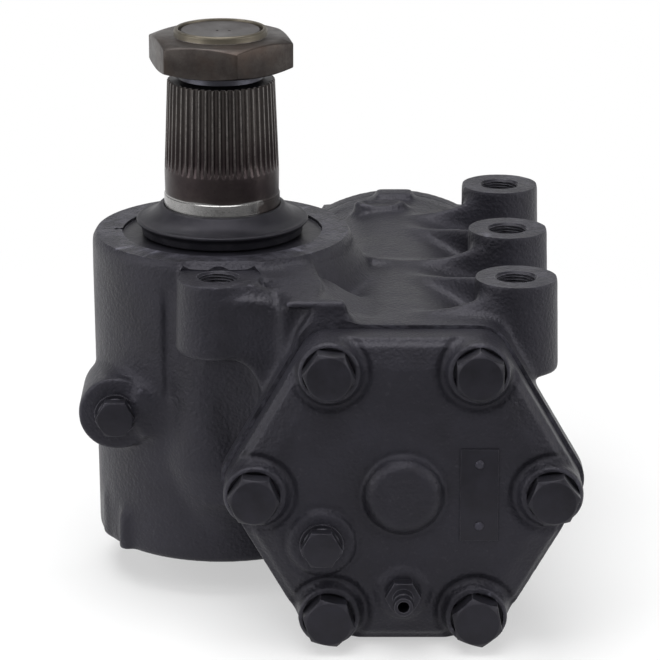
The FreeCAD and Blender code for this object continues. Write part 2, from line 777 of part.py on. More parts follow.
def front_cover():
    edge = flange("cover_edge_plate", "cover_corner_radius", "cover_edge", "-front_joint", FORWARD)
    crown = doc.addObject("Part::Loft", "cover_crown_loft")
    sections = []
    for name, corner, y in (
        ("crown_low", "cover_corner_radius", "-front_joint - cover_edge"),
        ("crown_high", "(cover_corner_radius - cover_slope_width)", "-" + COVER_FACE),
    ):
        section = doc.addObject("Part::RegularPolygon", name)
        section.Polygon = 6
        bind(section, Circumradius=f"{FLATS.format(corner=corner)} / 2 / cos(30) - 2.4")
        sections.append(place(section, "cylinder_x", y, AXIS_Z, FORWARD))
    crown.Sections = sections
    crown.Solid = True
    crown.Ruled = True
    bosses = []
    for i in range(6):
        x, z = bolt_spot(i)
        bosses.append(cylinder(f"cover_pad_{i}", "cover_pad_radius",
                               "cover_crown + cover_pad_height + 3", x, "-front_joint - cover_edge + 3", z,
                               FORWARD))
    disc = cone("cover_disc", "disc_base_radius", "disc_face_radius", "disc_height",
                "cylinder_x", "-" + COVER_FACE, AXIS_Z, FORWARD)
    plug_pad = cylinder("cover_plug_pad", "cover_plug_pad_radius", "plug_pad_height + 2",
                        "cylinder_x - cover_plug_x", f"-{COVER_FACE} + 2", f"{AXIS_Z} - cover_plug_drop",
                        FORWARD)
    bleeder_pad = cylinder("bleeder_pad", "bleeder_pad_radius", "plug_pad_height + 2",
                           "cylinder_x", f"-{COVER_FACE} + 2", f"{AXIS_Z} - bleeder_drop", FORWARD)
    spigot = cylinder("cover_spigot_disc", "bore_radius - spigot_gap", "cover_spigot",
                      "cylinder_x", "-front_joint", AXIS_Z, BACKWARD)
    body = fuse("cover_cast", edge, crown, *bosses, disc, plug_pad, bleeder_pad, spigot)
    hollow = cone("cover_hollow", "cover_hollow_radius", "cover_hollow_radius - 6",
                  "cover_hollow_depth + cover_spigot", "cylinder_x", "-front_joint + cover_spigot", AXIS_Z,
                  FORWARD)
    seal_groove = ring("cover_seal_groove", "bore_radius + 1", "bore_radius - seal_section", "seal_section",
                       "cylinder_x", "-front_joint + 1", AXIS_Z, BACKWARD)
    holes = [hollow, seal_groove]
    for i in range(6):
        x, z = bolt_spot(i)
        holes.append(cylinder(f"cover_bolt_hole_{i}", "bolt_radius + bolt_hole_gap",
                              "cover_edge + cover_crown + 8",
                              x, "-front_joint + 1", z, FORWARD))
    holes.append(cylinder("cover_plug_hole", "plug_shank_radius",
                          "cover_edge + cover_crown + plug_pad_height + 2",
                          "cylinder_x - cover_plug_x", "-front_joint + 1", f"{AXIS_Z} - cover_plug_drop",
                          FORWARD))
    holes.append(cylinder("bleeder_hole", "bleeder_tube_radius", "plug_shank_length + 1",
                          "cylinder_x", f"-{COVER_FACE} - plug_pad_height - 1", f"{AXIS_Z} - bleeder_drop",
                          BACKWARD))
    return cut("cover_machined", body, *holes)


def bolt_set(name, sizes, circle, seat_y, toward, away):
    """Six hexagon bolts with a chamfered head and a washer face."""
    radius, width, height, length = sizes
    bolts = []
    for i in range(6):
        x, z = bolt_spot(i, circle)
        head = hexagon(f"{name}_hex_{i}", width, height, x, seat_y, z, toward)
        form = turned(f"{name}_form_{i}", [
            ("0", "0"),
            (f"{width} * 0.47", "0"),
            (f"{width} * 0.47", "0.6"),
            (f"{width} * 0.6", "0.6"),
            (f"{width} * 0.6", f"{height} - {width} * 0.11"),
            (f"{width} * 0.468", height),
            ("0", height),
        ], x, seat_y, z, toward)
        shank = cylinder(f"{name}_shank_{i}", radius, length, x, seat_y, z, away)
        bolts.append(fuse(f"{name}_{i}", common(f"{name}_head_{i}", head, form), shank))
    return group(name + "_set", bolts)


FRONT_BOLT = ("bolt_radius", "bolt_head_width", "bolt_head_height", "bolt_shank_length")
REAR_BOLT = ("rear_bolt_radius", "rear_bolt_head_width", "rear_bolt_head_height", "rear_bolt_length")


def hex_plug(name, x, face_y, z):
    """A plug with a hexagon head, standing off its washer."""
    head_y = f"({face_y}) - washer_thickness"
    head = hexagon(name + "_hex", "plug_width", "plug_head_height", x, head_y, z, FORWARD)
    form = turned(name + "_form", [
        ("0", "0"),
        ("plug_width * 0.62", "0"),
        ("plug_width * 0.62", "plug_head_height - plug_width * 0.07"),
        ("plug_width * 0.49", "plug_head_height"),
        ("0", "plug_head_height"),
    ], x, head_y, z, FORWARD)
    collar = cylinder(name + "_collar", "plug_width * 0.52", "1.2", x, head_y, z, FORWARD)
    shank = cylinder(name + "_shank", "plug_shank_radius", "plug_shank_length + washer_thickness",
                     x, head_y, z, BACKWARD)
    plug = fuse(name + "_solid", common(name + "_head", head, form), collar, shank)
    washer = ring(name + "_washer_ring", "washer_radius", "plug_shank_radius", "washer_thickness",
                  x, face_y, z, FORWARD)
    return plug, washer


def bleeder_screw():
    face = f"-{COVER_FACE} - plug_pad_height"
    x, z = "cylinder_x", f"{AXIS_Z} - bleeder_drop"
    head = hexagon("bleeder_hex", "bleeder_width", "bleeder_hex_height", x, face, z, FORWARD)
    form = turned("bleeder_form", [
        ("0", "0"),
        ("bleeder_width * 0.56", "0"),
        ("bleeder_width * 0.62", "1.2"),
        ("bleeder_width * 0.62", "bleeder_hex_height - 1"),
        ("bleeder_width * 0.5", "bleeder_hex_height"),
        ("0", "bleeder_hex_height"),
    ], x, face, z, FORWARD)
    stem = turned("bleeder_stem", [
        ("0", "-plug_shank_length + 1"),
        ("bleeder_tube_radius", "-plug_shank_length + 1"),
        ("bleeder_tube_radius", "bleeder_hex_height + bleeder_tube_length - 5"),
        ("bleeder_tube_radius - 0.9", "bleeder_hex_height + bleeder_tube_length - 4.2"),
        ("bleeder_tube_radius", "bleeder_hex_height + bleeder_tube_length - 3.2"),
        ("bleeder_tube_radius - 0.5", "bleeder_hex_height + bleeder_tube_length"),
        ("0", "bleeder_hex_height + bleeder_tube_length"),
    ], x, face, z, FORWARD)
    bore = cylinder("bleeder_bore", "bleeder_bore_radius", "bleeder_hex_height + bleeder_tube_length",
                    x, face + " - 1", z, FORWARD)
    return cut("bleeder_solid", fuse("bleeder_blank", common("bleeder_head", head, form), stem), bore)


def nameplate():
    blank = box("plate_blank", "plate_width", "plate_thickness", "plate_height",
                "cylinder_x + plate_offset - plate_width / 2", f"-{COVER_FACE} - plate_thickness",
                f"{AXIS_Z} - plate_height / 2")
    rivets = []
    for i, side in enumerate((-1, 1)):
        rivets.append(turned(f"rivet_{i}", [
            ("0", "0"),
            ("rivet_radius", "0"),
            ("rivet_radius * 0.85", "rivet_radius * 0.35"),
            ("rivet_radius * 0.5", "rivet_radius * 0.55"),
            ("0", "rivet_radius * 0.62"),
        ], "cylinder_x + plate_offset", f"-{COVER_FACE} - plate_thickness",
            f"{AXIS_Z} + rivet_spacing / 2 * {side}", FORWARD))
    return blank, group("rivet_pair", rivets)


# Drop-arm shaft with the toothed sector
def star(radius, depth, count, height):
    """A closed wire with one shallow V for each serration."""
    spots = []
    for i in range(count):
        for part, reach in ((0.0, radius - depth), (0.38, radius), (0.62, radius)):
            angle = 2 * math.pi * (i + part) / count
            spots.append(FreeCAD.Vector(reach * math.cos(angle), reach * math.sin(angle), height))
    return Part.makePolygon(spots + [spots[0]])


def serrations():
    """The tapered serrated seat of the drop arm."""
    depth, count = value("spline_depth"), int(value("spline_count"))
    low = star(value("spline_base_radius"), depth, count, value("spline_start"))
    high = star(value("spline_tip_radius"), depth, count, value("spline_end"))
    return fixed("drop_arm_serrations", Part.makeLoft([low, high], True, True))


def involute_flank(pitch_radius, half_angle, root, tip):
    """Points up one flank of a tooth that is centred on +X."""
    pressure = math.radians(value("pressure_angle"))
    base = pitch_radius * math.cos(pressure)
    shift = half_angle + math.tan(pressure) - pressure
    points = []
    if root < base:
        points.append((root, shift))
    steps = 7
    start = max(base, root)
    for i in range(steps):
        radius = start + (tip - start) * i / (steps - 1)
        roll = math.sqrt(max((radius / base) ** 2 - 1, 0))
        points.append((radius, shift - (roll - math.atan(roll))))
    return points


def sector_teeth():
    """Three involute teeth on the hub, seen from above."""
    module = value("tooth_module")
    pitch_radius = value("sector_pitch_radius")
    root = pitch_radius - module - value("tooth_root_gap")
    tip = pitch_radius + module
    step = math.pi * module / pitch_radius
    half = (math.pi * module / 2 - value("tooth_backlash") / 2) / 2 / pitch_radius
    flank = involute_flank(pitch_radius, half, root, tip)
    count = int(value("sector_teeth"))
    edges = []
    spots = []
    for i in range(count):
        middle = step * (i - (count - 1) / 2)
        right = [FreeCAD.Vector(r * math.cos(middle - a), r * math.sin(middle - a), 0) for r, a in flank]
        left = [FreeCAD.Vector(r * math.cos(middle + a), r * math.sin(middle + a), 0) for r,
                a in flank][::-1]
        spots.append((right, left))
    for i, (right, left) in enumerate(spots):
        curve_start = 1 if flank[1][0] > flank[0][0] and flank[0][1] == flank[1][1] else 0
        if curve_start:
            edges.append(Part.LineSegment(right[0], right[1]).toShape())
        rising = Part.BSplineCurve()
        rising.interpolate(right[curve_start:])
        edges.append(rising.toShape())
        edges.append(Part.LineSegment(right[-1], left[0]).toShape())
        falling = Part.BSplineCurve()
        falling.interpolate(left[:len(left) - curve_start])
        edges.append(falling.toShape())
        if curve_start:
            edges.append(Part.LineSegment(left[-2], left[-1]).toShape())
        if i + 1 < count:
            edges.append(Part.LineSegment(left[-1], spots[i + 1][0][0]).toShape())
    centre = FreeCAD.Vector(0, 0, 0)
    edges.append(Part.LineSegment(spots[-1][1][-1], centre).toShape())
    edges.append(Part.LineSegment(centre, spots[0][0][0]).toShape())
    face = Part.Face(Part.Wire(edges))
    low = -value("cylinder_drop") - value("tooth_face_width") / 2
    face.translate(FreeCAD.Vector(0, 0, low))
    return fixed("sector_teeth_solid", face.extrude(FreeCAD.Vector(0, 0, value("tooth_face_width"))))


SECTOR_LOW = "(-cylinder_drop - tooth_face_width / 2)"
SECTOR_HIGH = "(-cylinder_drop + tooth_face_width / 2)"


def sector_shaft():
    hub = "sector_pitch_radius - tooth_module - tooth_root_gap"
    shaft = turned("shaft_turned", [
        ("0", SHAFT_FOOT),
        ("lower_journal_radius - 1", SHAFT_FOOT),
        ("lower_journal_radius", SHAFT_FOOT + " + 1"),
        ("lower_journal_radius", SECTOR_LOW),
        (hub, SECTOR_LOW),
        (hub, SECTOR_HIGH),
        ("upper_journal_radius", SECTOR_HIGH),
        ("upper_journal_radius", "-seal_bore_floor"),
        ("ground_radius", "-seal_bore_floor"),
        ("ground_radius", "ground_top"),
        ("plain_radius", "ground_top + 0.6"),
        ("plain_radius", "spline_start - 1"),
        ("spline_base_radius - spline_depth", "spline_start + 1"),
        ("spline_tip_radius - spline_depth", "spline_end"),
        ("relief_radius", "spline_end + 0.8"),
        ("relief_radius", "spline_end + 4"),
        ("stud_radius", "spline_end + 4.8"),
        ("stud_radius", "stud_end - 1.2"),
        ("stud_radius - 1.2", "stud_end"),
        ("0", "stud_end"),
    ])
    solid = fuse("shaft_toothed", shaft, serrations(), sector_teeth())
    pocket = cylinder("adjuster_pocket", "adjuster_pocket_radius", "adjuster_pocket_depth", "0", "0",
                      SHAFT_FOOT)
    return cut("sector_shaft_solid", solid, pocket)


def drop_arm_nut():
    turn = FreeCAD.Rotation(FreeCAD.Vector(0, 0, 1), -90 + value("nut_turn"))
    flats = hexagon("nut_hex", "nut_width", "nut_thickness", "0", "0", "nut_base", turn)
    form = turned("nut_form", [
        ("0", "0"),
        ("nut_width * 0.485", "0"),
        ("nut_width * 0.6", "nut_chamfer"),
        ("nut_width * 0.6", "nut_thickness - nut_chamfer"),
        ("nut_width * 0.485", "nut_thickness"),
        ("0", "nut_thickness"),
    ], "0", "0", "nut_base")
    collar = turned("nut_collar", [
        ("0", "0"),
        ("nut_collar_radius", "0"),
        ("nut_collar_radius", "nut_thickness + nut_collar_height - 0.8"),
        ("nut_collar_radius - 0.8", "nut_thickness + nut_collar_height"),
        ("0", "nut_thickness + nut_collar_height"),
    ], "0", "0", "nut_base")
    blank = fuse("nut_blank", common("nut_flats", flats, form), collar)
    bore = cylinder("nut_bore", "stud_radius + 0.08", "nut_thickness + nut_collar_height + 2", "0", "0",
                    "nut_base - 1")
    return cut("nut_solid", blank, bore)


# Sector cover, bearings and adjusting screw
TUBE_TOP = "(-cylinder_drop - tooth_face_width / 2 - sector_end_gap)"
BEARING_OUTER = "(lower_journal_radius + sector_bearing_wall)"


def sector_cover():
    """Round cover in the barrel's foot with the tube of the shaft's lower bearing."""
    edge = "cover_seat_radius - running_gap"
    disc = turned("sector_cover_disc", [
        ("0", COVER_LOW),
        (edge + " - 0.8", COVER_LOW),
        (edge, COVER_LOW + " + 0.8"),
        (edge, COVER_SEAT),
        (f"{BEARING_OUTER} + sector_tube_wall", COVER_SEAT),
        (f"{BEARING_OUTER} + sector_tube_wall", TUBE_TOP),
        ("0", TUBE_TOP),
    ])
    boss = cylinder("adjuster_boss", "adjuster_boss_radius", "adjuster_boss_height + 2", "0", "0",
                    COVER_LOW + " - adjuster_boss_height")
    bore = turned("sector_cover_bore", [
        ("0", COVER_LOW + " - adjuster_boss_height - 1"),
        ("adjuster_radius", COVER_LOW + " - adjuster_boss_height - 1"),
        ("adjuster_radius", SHAFT_FOOT + " - 0.5"),
        (BEARING_OUTER, SHAFT_FOOT + " - 0.5"),
        (BEARING_OUTER, TUBE_TOP + " + 1"),
        ("0", TUBE_TOP + " + 1"),
    ])
    seal_groove = ring("sector_cover_groove", "cover_seat_radius + 1",
                       "cover_seat_radius - cover_seal_section - 0.1",
                       "cover_seal_section", "0", "0", COVER_LOW + " + 1.3")
    return cut("sector_cover_solid", fuse("sector_cover_blank", disc, boss), bore, seal_groove)


def cover_ring():
    """The snap ring that holds the sector cover, open at one side between two ears."""
    low = f"{COVER_LOW} - cover_ring_height - 0.05"
    band = ring("cover_ring_band", "cover_ring_radius", "cover_ring_inner_radius", "cover_ring_height", "0",
                "0", low)
    gap = box("cover_ring_opening", "cover_ring_gap", "20", "cover_ring_height + 2", "-cover_ring_gap / 2",
              "-cover_ring_radius - 5", low + " - 1")
    ears = []
    holes = []
    for side in (-1, 1):
        x = f"(cover_ring_gap / 2 + cover_ring_ear_radius) * {side}"
        y = "-cover_ring_inner_radius + cover_ring_ear_radius * 0.6"
        ears.append(cylinder(f"cover_ring_ear_{side}", "cover_ring_ear_radius", "cover_ring_height", x, y,
                             low))
        holes.append(cylinder(f"cover_ring_hole_{side}", "cover_ring_ear_hole", "cover_ring_height + 2", x,
                              y,
                              low + " - 1"))
    return cut("cover_ring_solid", fuse("cover_ring_blank", cut("cover_ring_split", band, gap), *ears),
               *holes)


def adjusting_screw():
    head_low = SHAFT_FOOT + " + adjuster_ring_thickness + soft_gap"
    shank = cylinder("adjuster_shank", "adjuster_radius - 0.3",
                     f"{SHAFT_FOOT} - {ADJUSTER_END} + adjuster_ring_thickness + 1",
                     "0", "0", ADJUSTER_END)
    thread = cylinder("adjuster_thread", "adjuster_radius", f"{SHAFT_FOOT} - {ADJUSTER_END} - 1", "0", "0",
                      ADJUSTER_END)
    head = cylinder("adjuster_head", "adjuster_head_radius", "adjuster_head_height", "0", "0", head_low)
    key = hexagon("adjuster_key", "8", "6", "0", "0", ADJUSTER_END)
    return cut("adjuster_solid", fuse("adjuster_blank", shank, thread, head), key)


def lock_nut():
    low = COVER_LOW + " - adjuster_boss_height - lock_nut_height"
    flats = hexagon("lock_nut_hex", "lock_nut_width", "lock_nut_height", "0", "0", low)
    bore = cylinder("lock_nut_bore", "adjuster_radius", "lock_nut_height", "0", "0", low)
    return cut("lock_nut_solid", flats, bore)


# Soft seals at the drop-arm shaft
def dust_seal():
    inner = "ground_radius + soft_gap"
    return turned("dust_seal_body", [
        (inner, "snap_ring_base + snap_ring_height"),
        ("dust_foot_radius", "snap_ring_base + snap_ring_height"),
        ("dust_foot_radius", "dust_lip_height - 5"),
        ("dust_lip_radius - 2", "dust_lip_height - 3.4"),
        ("dust_lip_radius", "dust_lip_height - 2.2"),
        ("dust_lip_radius", "dust_lip_height - 0.6"),
        ("dust_lip_radius - 1", "dust_lip_height"),
        ("dust_foot_radius - 2", "dust_lip_height + 1.4"),
        ("ground_radius + 3.4", "dust_seal_top - 1"),
        ("ground_radius + 1.4", "dust_seal_top"),
        (inner, "dust_seal_top"),
    ])


# Piston with rack and ball nut
PISTON_RADIUS = "(bore_radius - piston_gap)"
RACK_TIP = "(sector_pitch_radius - tooth_module)"


def helix_groove(name, start, length, extra_radius):
    """A round-bottomed screw groove about the cylinder axis."""
    spine = doc.addObject("Part::Helix", name + "_line")
    bind(spine, Pitch="screw_lead", Height=length, Radius="ball_circle_radius")
    section = doc.addObject("Part::Circle", name + "_section")
    bind(section, Radius=f"ball_radius + {extra_radius}")
    place(section, "ball_circle_radius", "0", "0", FreeCAD.Rotation(FreeCAD.Vector(1, 0, 0), 90))
    sweep = doc.addObject("Part::Sweep", name)
    sweep.Sections = [section]
    sweep.Spine = (spine, ["Edge1"])
    sweep.Solid = True
    sweep.Frenet = True
    return place(sweep, "cylinder_x", start, AXIS_Z, BACKWARD)


def rack_spaces():
    """The spaces that the sector's teeth drop into, seen from above."""
    spaces = []
    count = int(value("sector_teeth"))
    middle = "sector_pitch_radius"
    slope = "tan(pressure_angle)"
    half = "(pi * tooth_module / 4 + tooth_backlash / 4)"
    deep = "(tooth_module + tooth_root_gap)"
    for i in range(count):
        centre = f"pi * tooth_module * ({i - (count - 1) / 2})"
        spaces.append(plate(f"rack_space_{i + 1}", [
            (f"{middle} - tooth_module - 3", f"{centre} - {half} - (tooth_module + 3) * {slope}"),
            (f"{middle} + {deep}", f"{centre} - {half} + {deep} * {slope}"),
            (f"{middle} + {deep}", f"{centre} + {half} - {deep} * {slope}"),
            (f"{middle} - tooth_module - 3", f"{centre} + {half} + (tooth_module + 3) * {slope}"),
        ], "cylinder_radius * 2", "0", "0", f"{AXIS_Z} - cylinder_radius", plane="XY_Plane"))
    return spaces


def piston():
    blank = turned("piston_blank", [
        ("0", "-piston_front"),
        (PISTON_RADIUS + " - 2", "-piston_front"),
        (PISTON_RADIUS, "-piston_front + 2"),
        (PISTON_RADIUS, "ring_groove_y"),
        (PISTON_RADIUS + " - ring_groove_depth", "ring_groove_y"),
        (PISTON_RADIUS + " - ring_groove_depth", "ring_groove_y + ring_width"),
        (PISTON_RADIUS, "ring_groove_y + ring_width"),
        (PISTON_RADIUS, "piston_rear - 2"),
        (PISTON_RADIUS + " - 2", "piston_rear"),
        ("0", "piston_rear"),
    ], "cylinder_x", "0", AXIS_Z, BACKWARD)
    flat = box("rack_flat", "40", "piston_front + rack_flat_end + 1", "cylinder_radius * 2",
               RACK_TIP + " - 40", "-piston_front - 1", f"{AXIS_Z} - cylinder_radius")
    bore = turned("nut_bore_form", [
        ("0", "-piston_bore_front"),
        ("ball_circle_radius + screw_land_gap - 2", "-piston_bore_front"),
        ("ball_circle_radius + screw_land_gap", "-piston_bore_front + 2"),
        ("ball_circle_radius + screw_land_gap", "piston_rear - piston_mouth_depth"),
        ("piston_mouth_radius", "piston_rear - piston_mouth_depth + 2"),
        ("piston_mouth_radius", "piston_rear + 1"),
        ("0", "piston_rear + 1"),
    ], "cylinder_x", "0", AXIS_Z, BACKWARD)
    track = helix_groove("nut_track", "nut_track_start", "screw_lead * nut_track_turns", "groove_gap")
    slot = box("guide_slot", "40", "screw_lead * nut_track_turns + guide_slot_width", "guide_slot_width",
               "cylinder_x + guide_circle_radius - guide_tube_radius - 3",
               "nut_track_start - guide_slot_width / 2", f"{AXIS_Z} - guide_slot_width / 2")
    passages = []
    for i in range(2):
        passages.append(cylinder(f"guide_hole_{i}", "guide_tube_radius", "guide_circle_radius",
                                 "cylinder_x", f"nut_track_start + screw_lead * nut_track_turns * {i}",
                                 AXIS_Z,
                                 FreeCAD.Rotation(FreeCAD.Vector(0, 1, 0), 90)))
    return cut("piston_solid", blank, flat, *rack_spaces(), bore, track, slot, *passages)


def ball_guide():
    """The return tube that leads the balls from one end of the nut track to the other."""
    legs = []
    sideways = FreeCAD.Rotation(FreeCAD.Vector(0, 1, 0), 90)
    inner = "ball_circle_radius + ball_radius + groove_gap + 2"
    tube = "guide_tube_radius - 0.05"
    for i in range(2):
        y = f"nut_track_start + screw_lead * nut_track_turns * {i}"
        legs.append(cylinder(f"guide_leg_{i}", tube, f"guide_circle_radius - ({inner})",
                             f"cylinder_x + {inner}", y, AXIS_Z, sideways))
        legs.append(sphere(f"guide_elbow_{i}", tube, "cylinder_x + guide_circle_radius", y, AXIS_Z))
    back = cylinder("guide_back", tube, "screw_lead * nut_track_turns", "cylinder_x + guide_circle_radius",
                    "nut_track_start", AXIS_Z, BACKWARD)
    return fuse("ball_guide_solid", *legs, back)


def balls():
    """One turn after another of balls on the screw line, starting at the first passage."""
    items = []
    count = int(value("ball_count"))
    for i in range(count):
        share = f"{(i + 0.5) / count}"
        angle = f"360 * nut_track_turns * {share}"
        items.append(sphere(f"ball_{i + 1}", "ball_radius",
                            f"cylinder_x + ball_circle_radius * cos({angle})",
                            f"nut_track_start + screw_lead * nut_track_turns * {share}",
                            f"{AXIS_Z} - ball_circle_radius * sin({angle})"))
    return group("ball_set", items)


# Worm with the valve sleeve, and the input shaft
# The front pin goes in through the land between two turns of the thread and stops short of the far groove.
FRONT_PIN_Y = "nut_track_start - screw_lead * 2.25"


def sleeve_spot(share):
    """Y of a place on the valve sleeve, at a share of the way from the worm bearing to the sleeve's end."""
    start = "(rear_joint + worm_bearing_length + 1)"
    return f"({start} + (sleeve_end - {start}) * {share})"


def worm():
    blank = turned("worm_blank", [
        ("torsion_bar_radius + torsion_bar_gap", "worm_tip"),
        ("ball_circle_radius - screw_land_gap - 2", "worm_tip"),
        ("ball_circle_radius - screw_land_gap", "worm_tip + 2"),
        ("ball_circle_radius - screw_land_gap", "worm_thread_end"),
        ("worm_neck_radius", "worm_thread_end + 4"),
        ("worm_neck_radius", "worm_collar_y"),
        ("worm_collar_radius", "worm_collar_y"),
        ("worm_collar_radius", "worm_collar_y + worm_collar_length"),
        ("worm_bearing_seat_radius", "worm_collar_y + worm_collar_length"),
        ("worm_bearing_seat_radius", "rear_joint + worm_bearing_length + 1"),
        ("sleeve_radius", "rear_joint + worm_bearing_length + 1"),
        ("sleeve_radius", "sleeve_end"),
        ("rotor_radius + rotor_gap", "sleeve_end"),
        ("rotor_radius + rotor_gap", "rotor_start - 2"),
        ("torsion_bar_radius + torsion_bar_gap", "rotor_start - 2"),
    ], "cylinder_x", "0", AXIS_Z, BACKWARD)
    thread = helix_groove("worm_thread", "nut_track_start - screw_lead * 3", "screw_lead * 8", "groove_gap")
    grooves = []
    for i, share in enumerate((0.06, 0.36, 0.66, 0.94)):
        y = sleeve_spot(share)
        grooves.append(ring(f"sleeve_groove_{i}", "sleeve_radius + 1",
                            "sleeve_radius - sleeve_groove_depth",
                            "sleeve_groove_width", "cylinder_x", y + " - sleeve_groove_width / 2", AXIS_Z,
                            BACKWARD))
    pin = cylinder("worm_pin_hole", "torsion_pin_radius", "torsion_pin_reach + ball_circle_radius + 0.5",
                   "cylinder_x", FRONT_PIN_Y, f"{AXIS_Z} - ball_circle_radius")
    return cut("worm_solid", blank, thread, *grooves, pin)


def sleeve_rings():
    items = []
    for i, share in enumerate((0.06, 0.36, 0.66, 0.94)):
        y = sleeve_spot(share)
        items.append(ring(f"sleeve_ring_{i}", "sleeve_radius + sleeve_gap - running_gap",
                          "sleeve_radius - sleeve_groove_depth + 0.1", "sleeve_groove_width - 0.2",
                          "cylinder_x", y + " - sleeve_groove_width / 2 + 0.1", AXIS_Z, BACKWARD))
    return group("sleeve_ring_set", items)


def worm_bearing():
    """Deep-groove bearing: outer ring in the valve housing, inner ring and balls on the worm."""
    middle = "rear_joint + worm_bearing_length / 2"
    track_radius = "(worm_bearing_radius + worm_bearing_seat_radius) / 2"
    race = doc.addObject("Part::Torus", "bearing_track")
    bind(race, Radius1=track_radius, Radius2="bearing_ball_radius + soft_gap")
    place(race, "cylinder_x", middle, AXIS_Z, BACKWARD)
    outer = cut("bearing_outer", ring("bearing_outer_blank", "worm_bearing_radius", track_radius + " + 2",
                                      "worm_bearing_length", "cylinder_x", "rear_joint", AXIS_Z, BACKWARD),
                                      race)
    inner = cut("bearing_inner",
                ring("bearing_inner_blank", track_radius + " - 2", "worm_bearing_seat_radius",
                                      "worm_bearing_length", "cylinder_x", "rear_joint", AXIS_Z, BACKWARD),
                                      race)
    items = []
    for i in range(int(value("bearing_ball_count"))):
        angle = f"360 / bearing_ball_count * {i}"
        items.append(sphere(f"bearing_ball_{i}", "bearing_ball_radius",
                            f"cylinder_x + {track_radius} * cos({angle})", middle,
                            f"{AXIS_Z} + {track_radius} * sin({angle})"))
    return outer, inner, group("bearing_ball_set", items)


def input_shaft():
    blank = turned("input_blank", [
        ("torsion_bar_radius + torsion_bar_gap", "rotor_start"),
        ("rotor_radius", "rotor_start"),
        ("rotor_radius", "sleeve_end + 1"),
        ("input_journal_radius", "sleeve_end + 1"),
        ("input_journal_radius", "valve_neck_end + 2"),
        ("input_spline_radius - input_spline_depth", "input_spline_start"),
        ("input_spline_radius - input_spline_depth", "input_end"),
        ("torsion_bar_radius", "input_end"),
        ("torsion_bar_radius", "input_end - 22"),
        ("torsion_bar_radius + torsion_bar_gap", "input_end - 24"),
    ], "cylinder_x", "0", AXIS_Z, BACKWARD)
    low = star(value("input_spline_radius"), value("input_spline_depth"), int(value("input_spline_count")),
               0)
    high_depth = FreeCAD.Vector(0, 0, value("input_end - input_spline_start"))
    splined = fixed("input_splines", Part.Face(low).extrude(high_depth))
    place(splined, "cylinder_x", "input_spline_start", AXIS_Z, BACKWARD)
    clearance = cylinder("input_spline_bore", "torsion_bar_radius", "input_end - input_spline_start + 2",
                         "cylinder_x", "input_spline_start - 1", AXIS_Z, BACKWARD)
    clamp_groove = ring("clamp_groove", "input_spline_radius + 1", "input_groove_radius",
                        "input_groove_width",
                        "cylinder_x", "input_groove_y", AXIS_Z, BACKWARD)
    slots = []
    for i in range(6):
        turn = FreeCAD.Rotation(FreeCAD.Vector(0, 1, 0), 60 * i)
        slot = box(f"rotor_slot_{i}", "3", "sleeve_end - rotor_start - 16", "5", turn=turn)
        offset = turn.multVec(FreeCAD.Vector(-1.5, 0, value("rotor_radius - 1.6")))
        slots.append(place(slot, f"cylinder_x + {offset.x:.4f}", "rotor_start + 8",
                           f"{AXIS_Z} + {offset.z:.4f}", turn))
    pin = cylinder("input_pin_hole", "torsion_pin_radius", "input_journal_radius * 3",
                   "cylinder_x", "input_end - 8", f"{AXIS_Z} - input_journal_radius * 1.5")
    return cut("input_solid", fuse("input_splined", blank, splined), clearance, clamp_groove, *slots, pin)


def torsion_bar():
    bar = turned("torsion_bar_blank", [
        ("0", "worm_tip + 1"),
        ("torsion_bar_radius", "worm_tip + 1"),
        ("torsion_bar_radius", "worm_tip + 14"),
        ("torsion_bar_radius - 1.2", "worm_tip + 18"),
        ("torsion_bar_radius - 1.2", "input_end - 26"),
        ("torsion_bar_radius", "input_end - 22"),
        ("torsion_bar_radius", "input_end - 1"),
        ("0", "input_end - 1"),
    ], "cylinder_x", "0", AXIS_Z, BACKWARD)
    pin = cylinder("bar_rear_hole", "torsion_pin_radius", "input_journal_radius * 3",
                   "cylinder_x", "input_end - 8", f"{AXIS_Z} - input_journal_radius * 1.5")
    front = cylinder("bar_front_hole", "torsion_pin_radius + 0.3", "ball_circle_radius * 3",
                     "cylinder_x", FRONT_PIN_Y, f"{AXIS_Z} - ball_circle_radius * 1.5")
    return cut("torsion_bar_solid", bar, pin, front)


